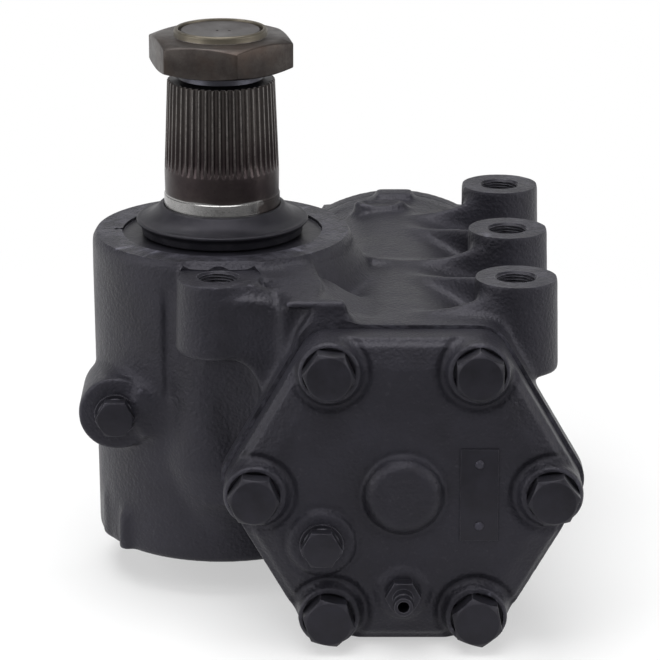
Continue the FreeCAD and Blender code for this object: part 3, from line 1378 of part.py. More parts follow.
# Valve housing
def valve_housing():
    plate_part = cylinder("valve_flange_plate", "rear_flange_radius - 1", "valve_flange", "cylinder_x",
                          "rear_joint", AXIS_Z, BACKWARD)
    body = turned("valve_body", [
        ("0", "rear_joint + 1"),
        ("valve_body_radius + 8", "rear_joint + valve_flange - 1"),
        ("valve_body_radius", "rear_joint + valve_flange + 9"),
        ("valve_body_radius", "valve_body_end - 5"),
        ("valve_body_radius - 5", "valve_body_end"),
        ("valve_neck_radius", "valve_body_end + 3"),
        ("valve_neck_radius - 0.8", "valve_neck_end - 1.5"),
        ("valve_neck_radius - 2.3", "valve_neck_end"),
        ("0", "valve_neck_end"),
    ], "cylinder_x", "0", AXIS_Z, BACKWARD)
    spigot = cylinder("valve_spigot", "bore_radius - spigot_gap", "4", "cylinder_x", "rear_joint", AXIS_Z,
                      FORWARD)
    ports = []
    for name, y, radius in (
        ("pressure", "pressure_port_y", "pressure_port_radius"),
        ("return", "return_port_y", "return_port_radius"),
    ):
        ports.append(cone(f"{name}_boss", f"{radius} + port_wall + 1.5", f"{radius} + port_wall",
                          "port_top", "cylinder_x", y, AXIS_Z))
    blank = fuse("valve_cast", plate_part, body, spigot, *ports)
    bore = turned("valve_bore", [
        ("0", "rear_joint - 5"),
        ("worm_bearing_radius", "rear_joint - 5"),
        ("worm_bearing_radius", "rear_joint + worm_bearing_length"),
        ("sleeve_radius + sleeve_gap", "rear_joint + worm_bearing_length"),
        ("sleeve_radius + sleeve_gap", "sleeve_end + 2"),
        ("input_bearing_radius", "sleeve_end + 2"),
        ("input_bearing_radius", "valve_neck_end - input_seal_length"),
        ("input_seal_radius", "valve_neck_end - input_seal_length"),
        ("input_seal_radius", "valve_neck_end + 1"),
        ("0", "valve_neck_end + 1"),
    ], "cylinder_x", "0", AXIS_Z, BACKWARD)
    holes = [bore]
    for name, y, radius in (
        ("pressure", "pressure_port_y", "pressure_port_radius"),
        ("return", "return_port_y", "return_port_radius"),
    ):
        holes.append(cylinder(f"{name}_port", radius, "port_depth + 1", "cylinder_x", y,
                              f"{AXIS_Z} + port_top - port_depth"))
        holes.append(cylinder(f"{name}_drilling", "port_drilling_radius", "port_top", "cylinder_x", y,
                              AXIS_Z))
    for i in range(6):
        x, z = bolt_spot(i, "rear_circle_radius")
        holes.append(cylinder(f"valve_bolt_hole_{i}", "rear_bolt_radius + bolt_hole_gap",
                              "valve_flange + 2", x,
                              "rear_joint - 1", z, BACKWARD))
        holes.append(cylinder(f"valve_spot_face_{i}", "rear_bolt_head_width * 0.66", "30", x,
                              "rear_joint + valve_flange", z, BACKWARD))
    return cut("valve_solid", blank, *holes)


# Finished pieces: node name and object
FACE_Y = f"-{COVER_FACE} - plug_pad_height"
cover_plug_solid, cover_plug_ring = hex_plug("cover_plug", "cylinder_x - cover_plug_x", FACE_Y,
                                             f"{AXIS_Z} - cover_plug_drop")
side_plug_solid, side_plug_ring = hex_plug("side_plug", "plug_boss_x", PLUG_FACE_Y, "-plug_boss_drop")
plate_blank, rivets = nameplate()
bearing_outer, bearing_inner, bearing_balls = worm_bearing()
SEAL_TOP = "-seal_bore_floor + oil_seal_height"

NODES = {
    "housing": housing(),
    "front_cover": front_cover(),
    "front_cover_seal": ring("front_seal_ring", "bore_radius", "bore_radius - seal_section",
                             "seal_section - 0.2",
                             "cylinder_x", "-front_joint + 1.1", AXIS_Z, BACKWARD),
    "front_cover_bolts": bolt_set("front_bolt", FRONT_BOLT, "bolt_circle_radius",
                                  f"-{COVER_FACE} - cover_pad_height", FORWARD, BACKWARD),
    "cover_plug": cover_plug_solid,
    "cover_plug_washer": cover_plug_ring,
    "bleeder_screw": bleeder_screw(),
    "nameplate": plate_blank,
    "nameplate_rivets": rivets,
    "side_plug": side_plug_solid,
    "side_plug_washer": side_plug_ring,
    "sector_cover": sector_cover(),
    "sector_cover_seal": ring("sector_seal_ring", "cover_seat_radius - 0.03",
                              "cover_seat_radius - cover_seal_section",
                              "cover_seal_section - 0.2", "0", "0", COVER_LOW + " + 1.4"),
    "sector_cover_ring": cover_ring(),
    "adjusting_screw": adjusting_screw(),
    "adjuster_lock_nut": lock_nut(),
    "adjuster_retainer": ring("retainer_ring", "adjuster_pocket_radius", "adjuster_radius + 0.5",
                              "adjuster_ring_thickness", "0", "0", SHAFT_FOOT),
    "upper_sector_bearing": ring("upper_bearing_ring", "bearing_bore_radius",
                                 "upper_journal_radius + running_gap",
                                 "cavity_roof - seal_bore_floor - 6", "0", "0", "-cavity_roof + 4"),
    "lower_sector_bearing": ring("lower_bearing_ring", BEARING_OUTER, "lower_journal_radius + running_gap",
                                 f"{TUBE_TOP} - {SHAFT_FOOT} - 0.5", "0", "0", SHAFT_FOOT + " - 0.5"),
    "sector_shaft_seal": ring("oil_seal_ring", "seal_bore_radius", "ground_radius + soft_gap",
                              "oil_seal_height",
                              "0", "0", "-seal_bore_floor"),
    "seal_support_ring": ring("support_ring", "seal_bore_radius - 0.1", "ground_radius + 0.5",
                              "support_ring_height",
                              "0", "0", SEAL_TOP),
    "retaining_ring": ring("snap_ring", "rim_bore_radius - 0.3", "ground_radius + 1", "snap_ring_height",
                           "0", "0", "snap_ring_base"),
    "dust_seal": dust_seal(),
    "sector_shaft": sector_shaft(),
    "drop_arm_nut": drop_arm_nut(),
    "piston": piston(),
    "piston_ring": ring("piston_ring_blank", "bore_radius - running_gap / 2",
                        PISTON_RADIUS + " - ring_groove_depth + 0.1",
                        "ring_width - 0.2", "cylinder_x", "ring_groove_y + 0.1", AXIS_Z, BACKWARD),
    "ball_return_guide": ball_guide(),
    "recirculating_balls": balls(),
    "worm": worm(),
    "valve_sleeve_rings": sleeve_rings(),
    "worm_bearing_outer_ring": bearing_outer,
    "worm_bearing_inner_ring": bearing_inner,
    "worm_bearing_balls": bearing_balls,
    "torsion_bar_front_pin": cylinder("front_pin", "torsion_pin_radius", "torsion_pin_length",
                                      "cylinder_x", FRONT_PIN_Y,
                                      f"{AXIS_Z} + torsion_pin_reach - torsion_pin_length"),
    "input_shaft": input_shaft(),
    "torsion_bar": torsion_bar(),
    "torsion_bar_rear_pin": cylinder("rear_pin", "torsion_pin_radius",
                                     "(input_spline_radius - input_spline_depth) * 1.8",
                                     "cylinder_x", "input_end - 8",
                                     f"{AXIS_Z} - (input_spline_radius - input_spline_depth) * 0.9"),
    "valve_housing": valve_housing(),
    "valve_housing_bolts": bolt_set("valve_bolt", REAR_BOLT, "rear_circle_radius",
                                    "rear_joint + valve_flange", BACKWARD, FORWARD),
    "input_shaft_bearing": ring("input_bearing_ring", "input_bearing_radius",
                                "input_journal_radius + running_gap",
                                "input_bearing_length", "cylinder_x", "sleeve_end + 4", AXIS_Z, BACKWARD),
    "input_shaft_seal": ring("input_seal_ring", "input_seal_radius", "input_journal_radius + soft_gap",
                             "input_seal_length - 2", "cylinder_x", "valve_neck_end - input_seal_length",
                             AXIS_Z,
                             BACKWARD),
}

doc.recompute()

failed = [item.Name for item in doc.Objects if "Invalid" in item.State or "Error" in item.State]
if failed:
    raise RuntimeError(f"these objects did not build: {failed}")
for node, item in NODES.items():
    shape = item.Shape
    if shape.isNull() or not shape.isValid():
        raise RuntimeError(f"{node} has no valid shape")

for node, item in NODES.items():
    item.Label = node
    item.Shape.exportStep(os.path.join("parts", node + ".step"))
    print(node, len(item.Shape.Solids), round(item.Shape.Volume))
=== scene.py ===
"""Looks of the power steering gear: cast casing and cover, shaft, screws, materials, light and camera."""

import json
import math

import bmesh
import bpy
import numpy as np
from mathutils import Matrix, Vector


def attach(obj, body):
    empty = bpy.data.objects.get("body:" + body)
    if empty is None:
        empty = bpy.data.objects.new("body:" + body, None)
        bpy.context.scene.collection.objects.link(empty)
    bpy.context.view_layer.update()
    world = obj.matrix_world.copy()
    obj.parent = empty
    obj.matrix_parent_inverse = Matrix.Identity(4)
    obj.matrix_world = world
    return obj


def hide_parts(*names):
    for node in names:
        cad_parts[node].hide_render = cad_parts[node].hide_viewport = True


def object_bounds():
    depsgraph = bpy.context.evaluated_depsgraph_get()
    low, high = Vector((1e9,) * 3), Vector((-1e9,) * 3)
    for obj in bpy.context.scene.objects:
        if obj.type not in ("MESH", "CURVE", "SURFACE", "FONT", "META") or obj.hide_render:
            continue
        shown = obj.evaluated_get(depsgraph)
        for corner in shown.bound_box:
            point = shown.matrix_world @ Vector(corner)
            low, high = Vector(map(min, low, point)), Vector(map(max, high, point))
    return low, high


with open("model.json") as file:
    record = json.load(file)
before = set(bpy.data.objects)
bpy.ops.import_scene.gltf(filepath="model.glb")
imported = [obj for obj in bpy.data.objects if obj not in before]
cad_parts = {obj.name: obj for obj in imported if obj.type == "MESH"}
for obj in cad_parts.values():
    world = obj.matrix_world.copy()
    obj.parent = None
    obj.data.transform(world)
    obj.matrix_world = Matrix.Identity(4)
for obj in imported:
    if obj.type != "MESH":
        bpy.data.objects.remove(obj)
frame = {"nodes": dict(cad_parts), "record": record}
cad_low, cad_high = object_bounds()

MM = 0.001
TAU = 2 * math.pi
WHITE = (1, 1, 1, 1)

# Places from the CAD: these in metres, the radii and heights further down in millimetres
CYLINDER_X, CYLINDER_Z = 0.0888, -0.0925
BOSS_TOPS = [(0.1436, -0.072), (0.1436, 0.0155), (0.1436, 0.103), (0.0, -0.072)]
FRONT_JOINT = -0.103
FLOOR_Z = cad_low.z

# Turns that point a lathe's axis forwards (-Y) and to the rear (+Y)
TO_FRONT = Matrix.Rotation(math.radians(90), 4, "X")
TO_REAR = Matrix.Rotation(math.radians(-90), 4, "X")

# Camera of the photograph
CAMERA_PLACE = (0.0539, -1.690, 0.474)
CAMERA_TILT = 72.8
CAMERA_LENS = 190.9

bodies = {n: b for b, group in frame["record"]["behaviour"]["bodies"].items() for n in group}


# Materials
class Nodes:
    """The node tree of a material or world, with short calls for the nodes used here."""

    def __init__(self, owner):
        owner.use_nodes = True
        self.owner = owner
        self.tree = owner.node_tree
        self.coordinates = self.add("ShaderNodeTexCoord").outputs
        self.place = self.coordinates["Object"]

    def feed(self, socket, source):
        """Links a socket to another, or sets its value."""
        if isinstance(source, bpy.types.NodeSocket):
            self.tree.links.new(source, socket)
        else:
            socket.default_value = source

    def add(self, kind, sources=None, **settings):
        node = self.tree.nodes.new(kind)
        for key, setting in settings.items():
            setattr(node, key, setting)
        for key, source in (sources or {}).items():
            self.feed(node.inputs[key], source)
        return node

    def noise(self, scale, detail=3.0, rough=0.55, place=None):
        node = self.add("ShaderNodeTexNoise", {"Vector": place or self.place, "Scale": scale, "Detail": detail,
                                               "Roughness": rough})
        return node.outputs["Fac"]

    def turning_marks(self, along, per_metre):
        """Noise that changes along one axis only."""
        node = self.add("ShaderNodeTexNoise", {"Scale": 1.0, "Detail": 3.0,
                                               "W": self.math("MULTIPLY", along, per_metre)},
                        noise_dimensions="1D")
        return node.outputs["Fac"]

    def math(self, kind, a, b=0.0):
        return self.add("ShaderNodeMath", {0: a, 1: b}, operation=kind).outputs[0]

    def ramp(self, source, low, high, to_low=0.0, to_high=1.0):
        node = self.add("ShaderNodeMapRange", {"Value": source, "From Min": low, "From Max": high,
                                               "To Min": to_low, "To Max": to_high})
        return node.outputs[0]

    def mix(self, share, a, b):
        return self.add("ShaderNodeMix", {0: share, 6: a, 7: b}, data_type="RGBA").outputs[2]

    def axes(self, place=None):
        return self.add("ShaderNodeSeparateXYZ", {0: place or self.place}).outputs

    def bump(self, height, distance, strength=1.0, normal=None):
        sources = {"Height": height, "Distance": distance, "Strength": strength}
        if normal:
            sources["Normal"] = normal
        return self.add("ShaderNodeBump", sources).outputs[0]

    def rubbed_edges(self, reach, low=0.02, high=0.16):
        """1 along the sharp edges of a piece, whatever its mesh, 0 on its faces."""
        soft = self.add("ShaderNodeBevel", {"Radius": reach}, samples=6).outputs[0]
        plain = self.add("ShaderNodeNewGeometry").outputs["Normal"]
        match = self.add("ShaderNodeVectorMath", {0: soft, 1: plain}, operation="DOT_PRODUCT").outputs["Value"]
        return self.ramp(match, 1 - low, 1 - high)

    @property
    def shader(self):
        return self.tree.nodes["Principled BSDF"]

    def finish(self, **sockets):
        """Feeds the shader's sockets, with _ for each space in their names."""
        for name, source in sockets.items():
            self.feed(self.shader.inputs[name.replace("_", " ")], source)
        return self.owner


def new_material(name):
    return Nodes(bpy.data.materials.new(name))


PAINT_LEVEL = 0.012
PAINT_SHEEN = (0.6, 0.58, 0.66, 1)


def times(level, red, green, blue):
    return (level * red, level * green, level * blue, 1)


def cast_paint(name):
    """Satin black paint over a sand-cast skin: shallow lumps, fine pebbles and uneven gloss."""
    n = new_material(name)
    dents = n.noise(75, 3, 0.5)
    lumps = n.noise(260, 3, 0.55)
    grit = n.noise(900, 4, 0.65)
    patches = n.noise(34, 4, 0.6)
    pebbles = n.add("ShaderNodeTexVoronoi", {"Vector": n.place, "Scale": 620.0}, feature="SMOOTH_F1")
    surface = n.bump(dents, 0.0005, 0.6)
    surface = n.bump(lumps, 0.0004, 0.6, surface)
    surface = n.bump(pebbles.outputs["Distance"], 0.00032, 0.8, surface)
    surface = n.bump(grit, 0.00026, 0.9, surface)
    surface = n.bump(n.noise(2400, 2, 0.5), 0.00006, 0.6, surface)
    edges = n.add("ShaderNodeNewGeometry").outputs["Pointiness"]
    worn = n.math("MULTIPLY", n.ramp(edges, 0.52, 0.6), n.ramp(n.noise(170, 4, 0.6), 0.4, 0.62))
    dust = n.ramp(n.noise(420, 5, 0.65), 0.6, 0.74)
    colour = n.mix(n.ramp(patches, 0.35, 0.65), times(PAINT_LEVEL, 0.82, 0.8, 1.05),
                   times(PAINT_LEVEL, 1.3, 1.27, 1.7))
    colour = n.mix(n.math("MULTIPLY", dust, 0.35), colour, times(PAINT_LEVEL, 4.4, 4.2, 5))
    colour = n.mix(n.math("MULTIPLY", worn, 0.75), colour, times(PAINT_LEVEL, 9, 8.8, 11))
    rough = n.math("ADD", n.ramp(patches, 0.3, 0.7, 0.37, 0.5), n.ramp(grit, 0.3, 0.7, -0.05, 0.07))
    return n.finish(Base_Color=colour, Roughness=rough, Normal=surface, Specular_IOR_Level=0.42,
                    Specular_Tint=PAINT_SHEEN)


def smooth_paint(name, level=0.011, wear=0.85):
    """The same paint over machined steel: a faint orange peel, small chips and rubbed edges."""
    n = new_material(name)
    patches = n.noise(90, 3, 0.6)
    surface = n.bump(n.noise(420, 3, 0.5), 0.0002, 0.6)
    surface = n.bump(n.noise(1500, 2, 0.5), 0.00004, 0.5, surface)
    worn = n.math("MULTIPLY", n.rubbed_edges(0.0005), n.ramp(n.noise(300, 3, 0.6), 0.32, 0.52, 0.25, 1.0))
    chips = n.ramp(n.noise(500, 4, 0.7), 0.7, 0.76)
    colour = n.mix(n.ramp(patches, 0.35, 0.65), times(level, 0.82, 0.8, 1), times(level, 1.2, 1.17, 1.55))
    colour = n.mix(n.math("MULTIPLY", chips, 0.25), colour, (0.05, 0.048, 0.054, 1))
    colour = n.mix(n.math("MULTIPLY", worn, wear), colour, (0.2, 0.195, 0.225, 1))
    return n.finish(Base_Color=colour, Roughness=n.ramp(patches, 0.3, 0.7, 0.34, 0.45), Normal=surface,
                    Specular_IOR_Level=0.36, Specular_Tint=PAINT_SHEEN)


def turned_steel(name, dark, light, rough, stain=1.0):
    """Steel turned round Y: fine rings, brown stains and oil patches."""
    n = new_material(name)
    stains = n.noise(70, 5, 0.65)
    specks = n.noise(600, 3, 0.6)
    colour = n.mix(n.ramp(stains, 0.4, 0.62), (*dark, 1), (*light, 1))
    colour = n.mix(n.math("MULTIPLY", n.ramp(specks, 0.56, 0.7), 0.45 * stain), colour,
                   (dark[0] * 0.35, dark[1] * 0.32, dark[2] * 0.3, 1))
    surface = n.bump(n.turning_marks(n.axes()[1], 5200.0), 0.00003, 0.6)
    surface = n.bump(specks, 0.00003 * stain, 0.4, surface)
    rougher = n.math("ADD", n.ramp(stains, 0.35, 0.65, rough + 0.1, rough - 0.03),
                     n.ramp(specks, 0.4, 0.7, 0.0, 0.1 * stain))
    return n.finish(Base_Color=colour, Metallic=0.9, Roughness=rougher, Normal=surface, Anisotropic=0.3)


def shaft_finish(name):
    """Browned serrations and seat, a brightly ground ring under them, a turned shoulder; painted highlights on the
    serrations' crests and painted shade on the neck under the nut.
    """
    n = new_material(name)
    x, y, z = n.axes()
    stains = n.noise(60, 5, 0.65)
    specks = n.noise(500, 3, 0.6)
    waver = n.ramp(n.noise(35, 2), 0.3, 0.7, -0.0008, 0.0008)
    height = n.math("ADD", z, waver)
    ground = n.math("MULTIPLY", n.ramp(height, 0.0145, 0.0152), n.ramp(height, 0.0238, 0.0243, 1.0, 0.0))
    dark_band = n.math("MULTIPLY", n.ramp(height, 0.024, 0.0262), n.ramp(height, 0.045, 0.06, 1.0, 0.0))
    upper = n.ramp(z, 0.045, 0.075)
    brown_and_painted_light = n.mix(n.ramp(stains, 0.4, 0.62), (0.034, 0.028, 0.028, 1), (0.07, 0.059, 0.056, 1))
    brown_and_painted_light = n.mix(n.math("MULTIPLY", upper, 0.5), brown_and_painted_light, (0.085, 0.078, 0.074, 1))
    brown_and_painted_light = n.mix(n.math("MULTIPLY", dark_band, 0.6), brown_and_painted_light, (0.034, 0.025, 0.027, 1))
    # Crests of the serrations are painted lighter: a painted highlight along the ridges, dimmed in the dark band
    from_axis = n.math("SQRT", n.math("ADD", n.math("MULTIPLY", x, x), n.math("MULTIPLY", y, y)))
    over = n.math("SUBTRACT", from_axis, n.ramp(z, 0.0348, 0.0806, 0.02855, 0.02675))
    in_teeth = n.math("MULTIPLY", n.ramp(z, 0.036, 0.044), n.ramp(z, 0.0806, 0.0809, 1.0, 0.0))
    crest_highlight = n.math("MULTIPLY", n.ramp(over, -0.00014, -0.00003), in_teeth)
    crest_highlight = n.math("MULTIPLY", crest_highlight, n.ramp(specks, 0.35, 0.55, 0.35, 0.85))
    crest_highlight = n.math("MULTIPLY", crest_highlight, n.ramp(dark_band, 0.0, 1.0, 1.0, 0.45))
    brown_and_painted_light = n.mix(crest_highlight, brown_and_painted_light, (0.19, 0.178, 0.17, 1))
    # The neck under the nut is painted darker and bluish as painted shade from the nut, then the stud's end face
    brown_and_painted_light = n.mix(n.ramp(z, 0.0808, 0.0814), brown_and_painted_light, (0.045, 0.045, 0.055, 1))
    brown_and_painted_light = n.mix(n.ramp(z, 0.1048, 0.1052), brown_and_painted_light, (0.056, 0.048, 0.047, 1))
    grime = n.ramp(n.math("ADD", x, n.ramp(stains, 0.3, 0.7, -0.004, 0.004)), 0.0175, 0.0205)
    ground = n.math("MULTIPLY", ground, n.math("SUBTRACT", 1.0, grime))
    colour = n.mix(ground, brown_and_painted_light, (0.32, 0.315, 0.31, 1))
    colour = n.mix(n.math("MULTIPLY", n.ramp(specks, 0.57, 0.7), 0.35), colour, (0.02, 0.017, 0.015, 1))
    rough = n.math("ADD", n.ramp(stains, 0.35, 0.65, 0.4, 0.3), n.math("MULTIPLY", ground, -0.1))
    surface = n.bump(n.turning_marks(z, 4600.0), 0.00003, 0.7)
    surface = n.bump(specks, 0.00003, 0.4, surface)
    return n.finish(Base_Color=colour, Metallic=0.92, Roughness=rough, Normal=surface, Anisotropic=0.25)


def nut_finish(name):
    """Forged nut, machined and lightly rusted: brown-grey flats with darker blotches and scratches."""
    n = new_material(name)
    stains = n.noise(85, 6, 0.7)
    blotches = n.noise(32, 4, 0.6)
    specks = n.noise(700, 4, 0.65)
    stretched = n.add("ShaderNodeMapping", {"Vector": n.place, "Scale": (900.0, 900.0, 70.0)}).outputs[0]
    draws = n.noise(1.0, 3, 0.5, stretched)
    colour = n.mix(n.ramp(stains, 0.38, 0.64), (0.034, 0.028, 0.026, 1), (0.062, 0.054, 0.05, 1))
    colour = n.mix(n.math("MULTIPLY", n.ramp(blotches, 0.5, 0.66), 0.6), colour, (0.05, 0.034, 0.026, 1))
    colour = n.mix(n.math("MULTIPLY", n.ramp(specks, 0.56, 0.68), 0.5), colour, (0.03, 0.024, 0.021, 1))
    # The raised collar on top is brassier
    colour = n.mix(n.ramp(n.axes()[2], 0.1032, 0.1036), colour, (0.1, 0.088, 0.068, 1))
    worn = n.math("MULTIPLY", n.rubbed_edges(0.0007), n.ramp(n.noise(260, 3), 0.3, 0.55, 0.2, 0.8))
    colour = n.mix(worn, colour, (0.3, 0.28, 0.26, 1))
    surface = n.bump(draws, 0.00005, 0.5)
    surface = n.bump(specks, 0.00005, 0.5, surface)
    return n.finish(Base_Color=colour, Metallic=0.85, Roughness=n.ramp(stains, 0.35, 0.65, 0.5, 0.36),
                    Normal=surface)


def rubber(name):
    """Matt black rubber with a little dust."""
    n = new_material(name)
    dust = n.noise(120, 4, 0.65)
    colour = n.mix(n.ramp(dust, 0.45, 0.7), (0.009, 0.0088, 0.0115, 1), (0.017, 0.0165, 0.02, 1))
    return n.finish(Base_Color=colour, Roughness=n.ramp(dust, 0.3, 0.7, 0.4, 0.54),
                    Normal=n.bump(n.noise(1500, 2, 0.5), 0.00003, 0.5), Specular_IOR_Level=0.42,
                    Specular_Tint=PAINT_SHEEN)


def plastic(name):
    """Green filled plastic of the piston and sleeve rings."""
    n = new_material(name)
    tint = n.noise(200, 2)
    colour = n.mix(n.ramp(tint, 0.4, 0.6), (0.07, 0.12, 0.1, 1), (0.09, 0.16, 0.13, 1))
    return n.finish(Base_Color=colour, Roughness=n.ramp(tint, 0.3, 0.7, 0.4, 0.5),
                    Normal=n.bump(n.noise(900), 0.00002, 0.4))


FINISHES = {
    "cast_paint": cast_paint("cast_paint"),
    "fastener_paint": smooth_paint("fastener_paint"),
    "plate_paint": smooth_paint("plate_paint", wear=0.4),
    "shaft_steel": shaft_finish("shaft_finish"),
    "nut_steel": nut_finish("nut_finish"),
    "input_steel": turned_steel("input_steel", (0.2, 0.19, 0.18), (0.4, 0.39, 0.38), 0.34),
    "inner_steel": turned_steel("inner_steel", (0.28, 0.28, 0.28), (0.45, 0.45, 0.45), 0.28, 0.4),
    "bearing_steel": turned_steel("bearing_steel", (0.5, 0.5, 0.5), (0.62, 0.62, 0.63), 0.14, 0.2),
    "piston_iron": turned_steel("piston_iron", (0.2, 0.2, 0.2), (0.32, 0.32, 0.32), 0.34, 0.6),
    "seal_rubber": rubber("seal_rubber"),
    "ring_plastic": plastic("ring_plastic"),
}
slots = {part["node"]: part["material_slot"] for part in frame["record"]["subparts"]}
for node, item in frame["nodes"].items():
    item.data.materials.clear()
    item.data.materials.append(FINISHES[slots[node]])


# Mesh helpers
def mesh_object(name, bm, material, smooth=True):
    """An object from a loose mesh, which is used up."""
    data = bpy.data.meshes.new(name)
    bm.to_mesh(data)
    bm.free()
    item = bpy.data.objects.new(name, data)
    bpy.context.scene.collection.objects.link(item)
    data.materials.append(material)
    if smooth:
        data.shade_smooth()
    return item


def loose_mesh(item):
    bm = bmesh.new()
    bm.from_mesh(item.data)
    return bm


def give_back(bm, item):
    bm.to_mesh(item.data)
    bm.free()


def apply_modifiers(item):
    """Turns an object's modifiers into its mesh."""
    graph = bpy.context.evaluated_depsgraph_get()
    made = bpy.data.meshes.new_from_object(item.evaluated_get(graph))
    item.modifiers.clear()
    old = item.data
    item.data = made
    bpy.data.meshes.remove(old)


def smooth_by_angle(item, degrees):
    """Smooth shading with the sharper edges marked."""
    item.data.shade_smooth()
    bm = loose_mesh(item)
    for edge in bm.edges:
        edge.smooth = len(edge.link_faces) == 2 and edge.calc_face_angle(0.0) < math.radians(degrees)
    give_back(bm, item)


def break_edges(item, width, angle):
    """Chamfers the edges sharper than an angle in degrees, so that they catch the light."""
    bevel = item.modifiers.new("edges", "BEVEL")
    bevel.width = width
    bevel.segments = 2
    bevel.limit_method = "ANGLE"
    bevel.angle_limit = math.radians(angle)
    apply_modifiers(item)


def node_copy(node, name):
    """A copy of a CAD node's mesh with its faces joined up again."""
    bm = loose_mesh(frame["nodes"][node])
    bmesh.ops.remove_doubles(bm, verts=bm.verts, dist=0.000001)
    return mesh_object(name, bm, FINISHES[slots[node]], smooth=False)


def adopt(item, *nodes):
    """The piece stands for these nodes and rides as they do."""
    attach(item, bodies[nodes[0]])
    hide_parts(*nodes)


def crisp(node, width):
    """A node's shape with its edges broken."""
    item = node_copy(node, node + "_bevelled")
    bm = loose_mesh(item)
    bmesh.ops.dissolve_limit(bm, angle_limit=math.radians(1.0), verts=bm.verts, edges=bm.edges)
    give_back(bm, item)
    break_edges(item, width, 28)
    smooth_by_angle(item, 35)
    adopt(item, node)


def rounded_profile(corners, steps=4):
    """The (radius, height) line through corners given as (radius, height, corner rounding), in millimetres."""
    line = []
    for i, (radius, height, rounding) in enumerate(corners):
        if not rounding or i in (0, len(corners) - 1):
            line.append((radius, height))
            continue
        here = Vector((radius, height))
        before = Vector(corners[i - 1][:2]) - here
        after = Vector(corners[i + 1][:2]) - here
        reach = min(rounding, before.length * 0.49, after.length * 0.49)
        first = here + before.normalized() * reach
        last = here + after.normalized() * reach
        for k in range(steps + 1):
            t = k / steps
            point = first * (1 - t) ** 2 + here * 2 * t * (1 - t) + last * t ** 2
            line.append((point.x, point.y))
    return line


def ring_of(bm, radius, height, segments, centre=(0.0, 0.0)):
    """Points round a centre in metres. The radius is in millimetres, or a function of the share of a turn."""
    points = []
    for i in range(segments):
        reach = (radius(i / segments) if callable(radius) else radius) * MM
        angle = TAU * i / segments
        points.append(bm.verts.new((centre[0] + reach * math.cos(angle), centre[1] + reach * math.sin(angle),
                                    height * MM)))
    return points


def skin_over(bm, rings, closed=True):
    """Faces from each ring to the next, and if closed from the last to the first."""
    for low, high in zip(rings, rings[1:] + rings[:1] if closed else rings[1:]):
        for i in range(len(low)):
            j = (i + 1) % len(low)
            bm.faces.new((low[i], low[j], high[j], high[i]))


def lathe_mesh(profile, segments=128, place=(0, 0, 0), turn=None, closed=True):
    """A turned form: (radius, height) pairs in millimetres round local Z."""
    bm = bmesh.new()
    rings = [ring_of(bm, radius, height, segments) for radius, height in profile]
    skin_over(bm, rings, closed)
    if not closed:
        bm.faces.new(rings[0])
        bm.faces.new(rings[-1])
    bmesh.ops.recalc_face_normals(bm, faces=bm.faces)
    bm.transform(Matrix.Translation(Vector(place)) @ (turn or Matrix.Identity(4)))
    return bm


def bar(radius, low, high, place=(0, 0, 0), turn=None, segments=64):
    """A plain round bar, as stock or as a cutter; sizes in millimetres."""
    return lathe_mesh([(radius, low), (radius, high)], segments, place, turn, closed=False)


def block(low, high):
    """A box from corner to corner, in metres."""
    bm = bmesh.new()
    bmesh.ops.create_cube(bm, size=1)
    low, high = Vector(low), Vector(high)
    bm.transform(Matrix.Translation((low + high) / 2) @ Matrix.Diagonal((*(high - low), 1)))
    return bm


def extruded(outline, low, high):
    """A closed (x, y) outline drawn out between two heights along Z, in millimetres."""
    bm = bmesh.new()
    floor, roof = ([bm.verts.new((x * MM, y * MM, height * MM)) for x, y in outline] for height in (low, high))
    bm.faces.new(floor)
    bm.faces.new(roof)
    skin_over(bm, [floor, roof], closed=False)
    bmesh.ops.recalc_face_normals(bm, faces=bm.faces)
    return bm


def arc(radius, first, last, steps=24, centre=(0.0, 0.0)):
    """Points on an arc in plan, in millimetres and degrees."""
    turns = [math.radians(first + (last - first) * k / steps) for k in range(steps + 1)]
    return [(centre[0] + radius * math.cos(t), centre[1] + radius * math.sin(t)) for t in turns]


def joined(parts):
    """Several loose meshes as one."""
    whole = bmesh.new()
    for part in parts:
        data = bpy.data.meshes.new("part")
        part.to_mesh(data)
        part.free()
        whole.from_mesh(data)
        bpy.data.meshes.remove(data)
    return whole


def points_of(mesh):
    co = np.empty(len(mesh.vertices) * 3)
    mesh.vertices.foreach_get("co", co)
    return co.reshape(-1, 3)


def move_points(item, co):
    item.data.vertices.foreach_set("co", co.ravel())
    item.data.update()


def relax(item, rounds, weight, hollows_only=False):
    """Runs each point towards the middle of its neighbours, only where the skin is hollow if asked."""
    mesh = item.data
    co = points_of(mesh)
    count = len(co)
    edges = np.empty(len(mesh.edges) * 2, dtype=np.int64)
    mesh.edges.foreach_get("vertices", edges)
    a, b = edges.reshape(-1, 2).T
    used = (weight[a] > 0) | (weight[b] > 0)
    a, b = a[used], b[used]
    joins = np.maximum(1, np.bincount(np.concatenate([a, b]), minlength=count))
    for turn in range(rounds):
        middle = co.copy()
        for k in range(3):
            middle[:, k] = (np.bincount(a, co[b, k], count) + np.bincount(b, co[a, k], count)) / joins
        middle[weight <= 0] = co[weight <= 0]
        step = (middle - co) * weight[:, None]
        if hollows_only:
            if turn % 4 == 0:
                move_points(item, co)
                normals = np.empty(count * 3)
                mesh.vertex_normals.foreach_get("vector", normals)
                normals = normals.reshape(-1, 3)
            step *= ((step * normals).sum(1) > 0)[:, None]
        co = co + step * 0.6
    move_points(item, co)


def machine(item, cutter, name, operation="DIFFERENCE"):
    """Cuts the piece with a closed cutter mesh, or keeps what lies inside the cutter."""
    tool = mesh_object(name, cutter, item.data.materials[0], smooth=False)
    cut = item.modifiers.new(name, "BOOLEAN")
    cut.operation = operation
    cut.solver = "MANIFOLD"
    cut.object = tool
    apply_modifiers(item)
    bpy.data.objects.remove(tool)


FIRST_ROUNDS = 4
SOFT_ROUNDS = 60
SAME_PLANE = 0.00002


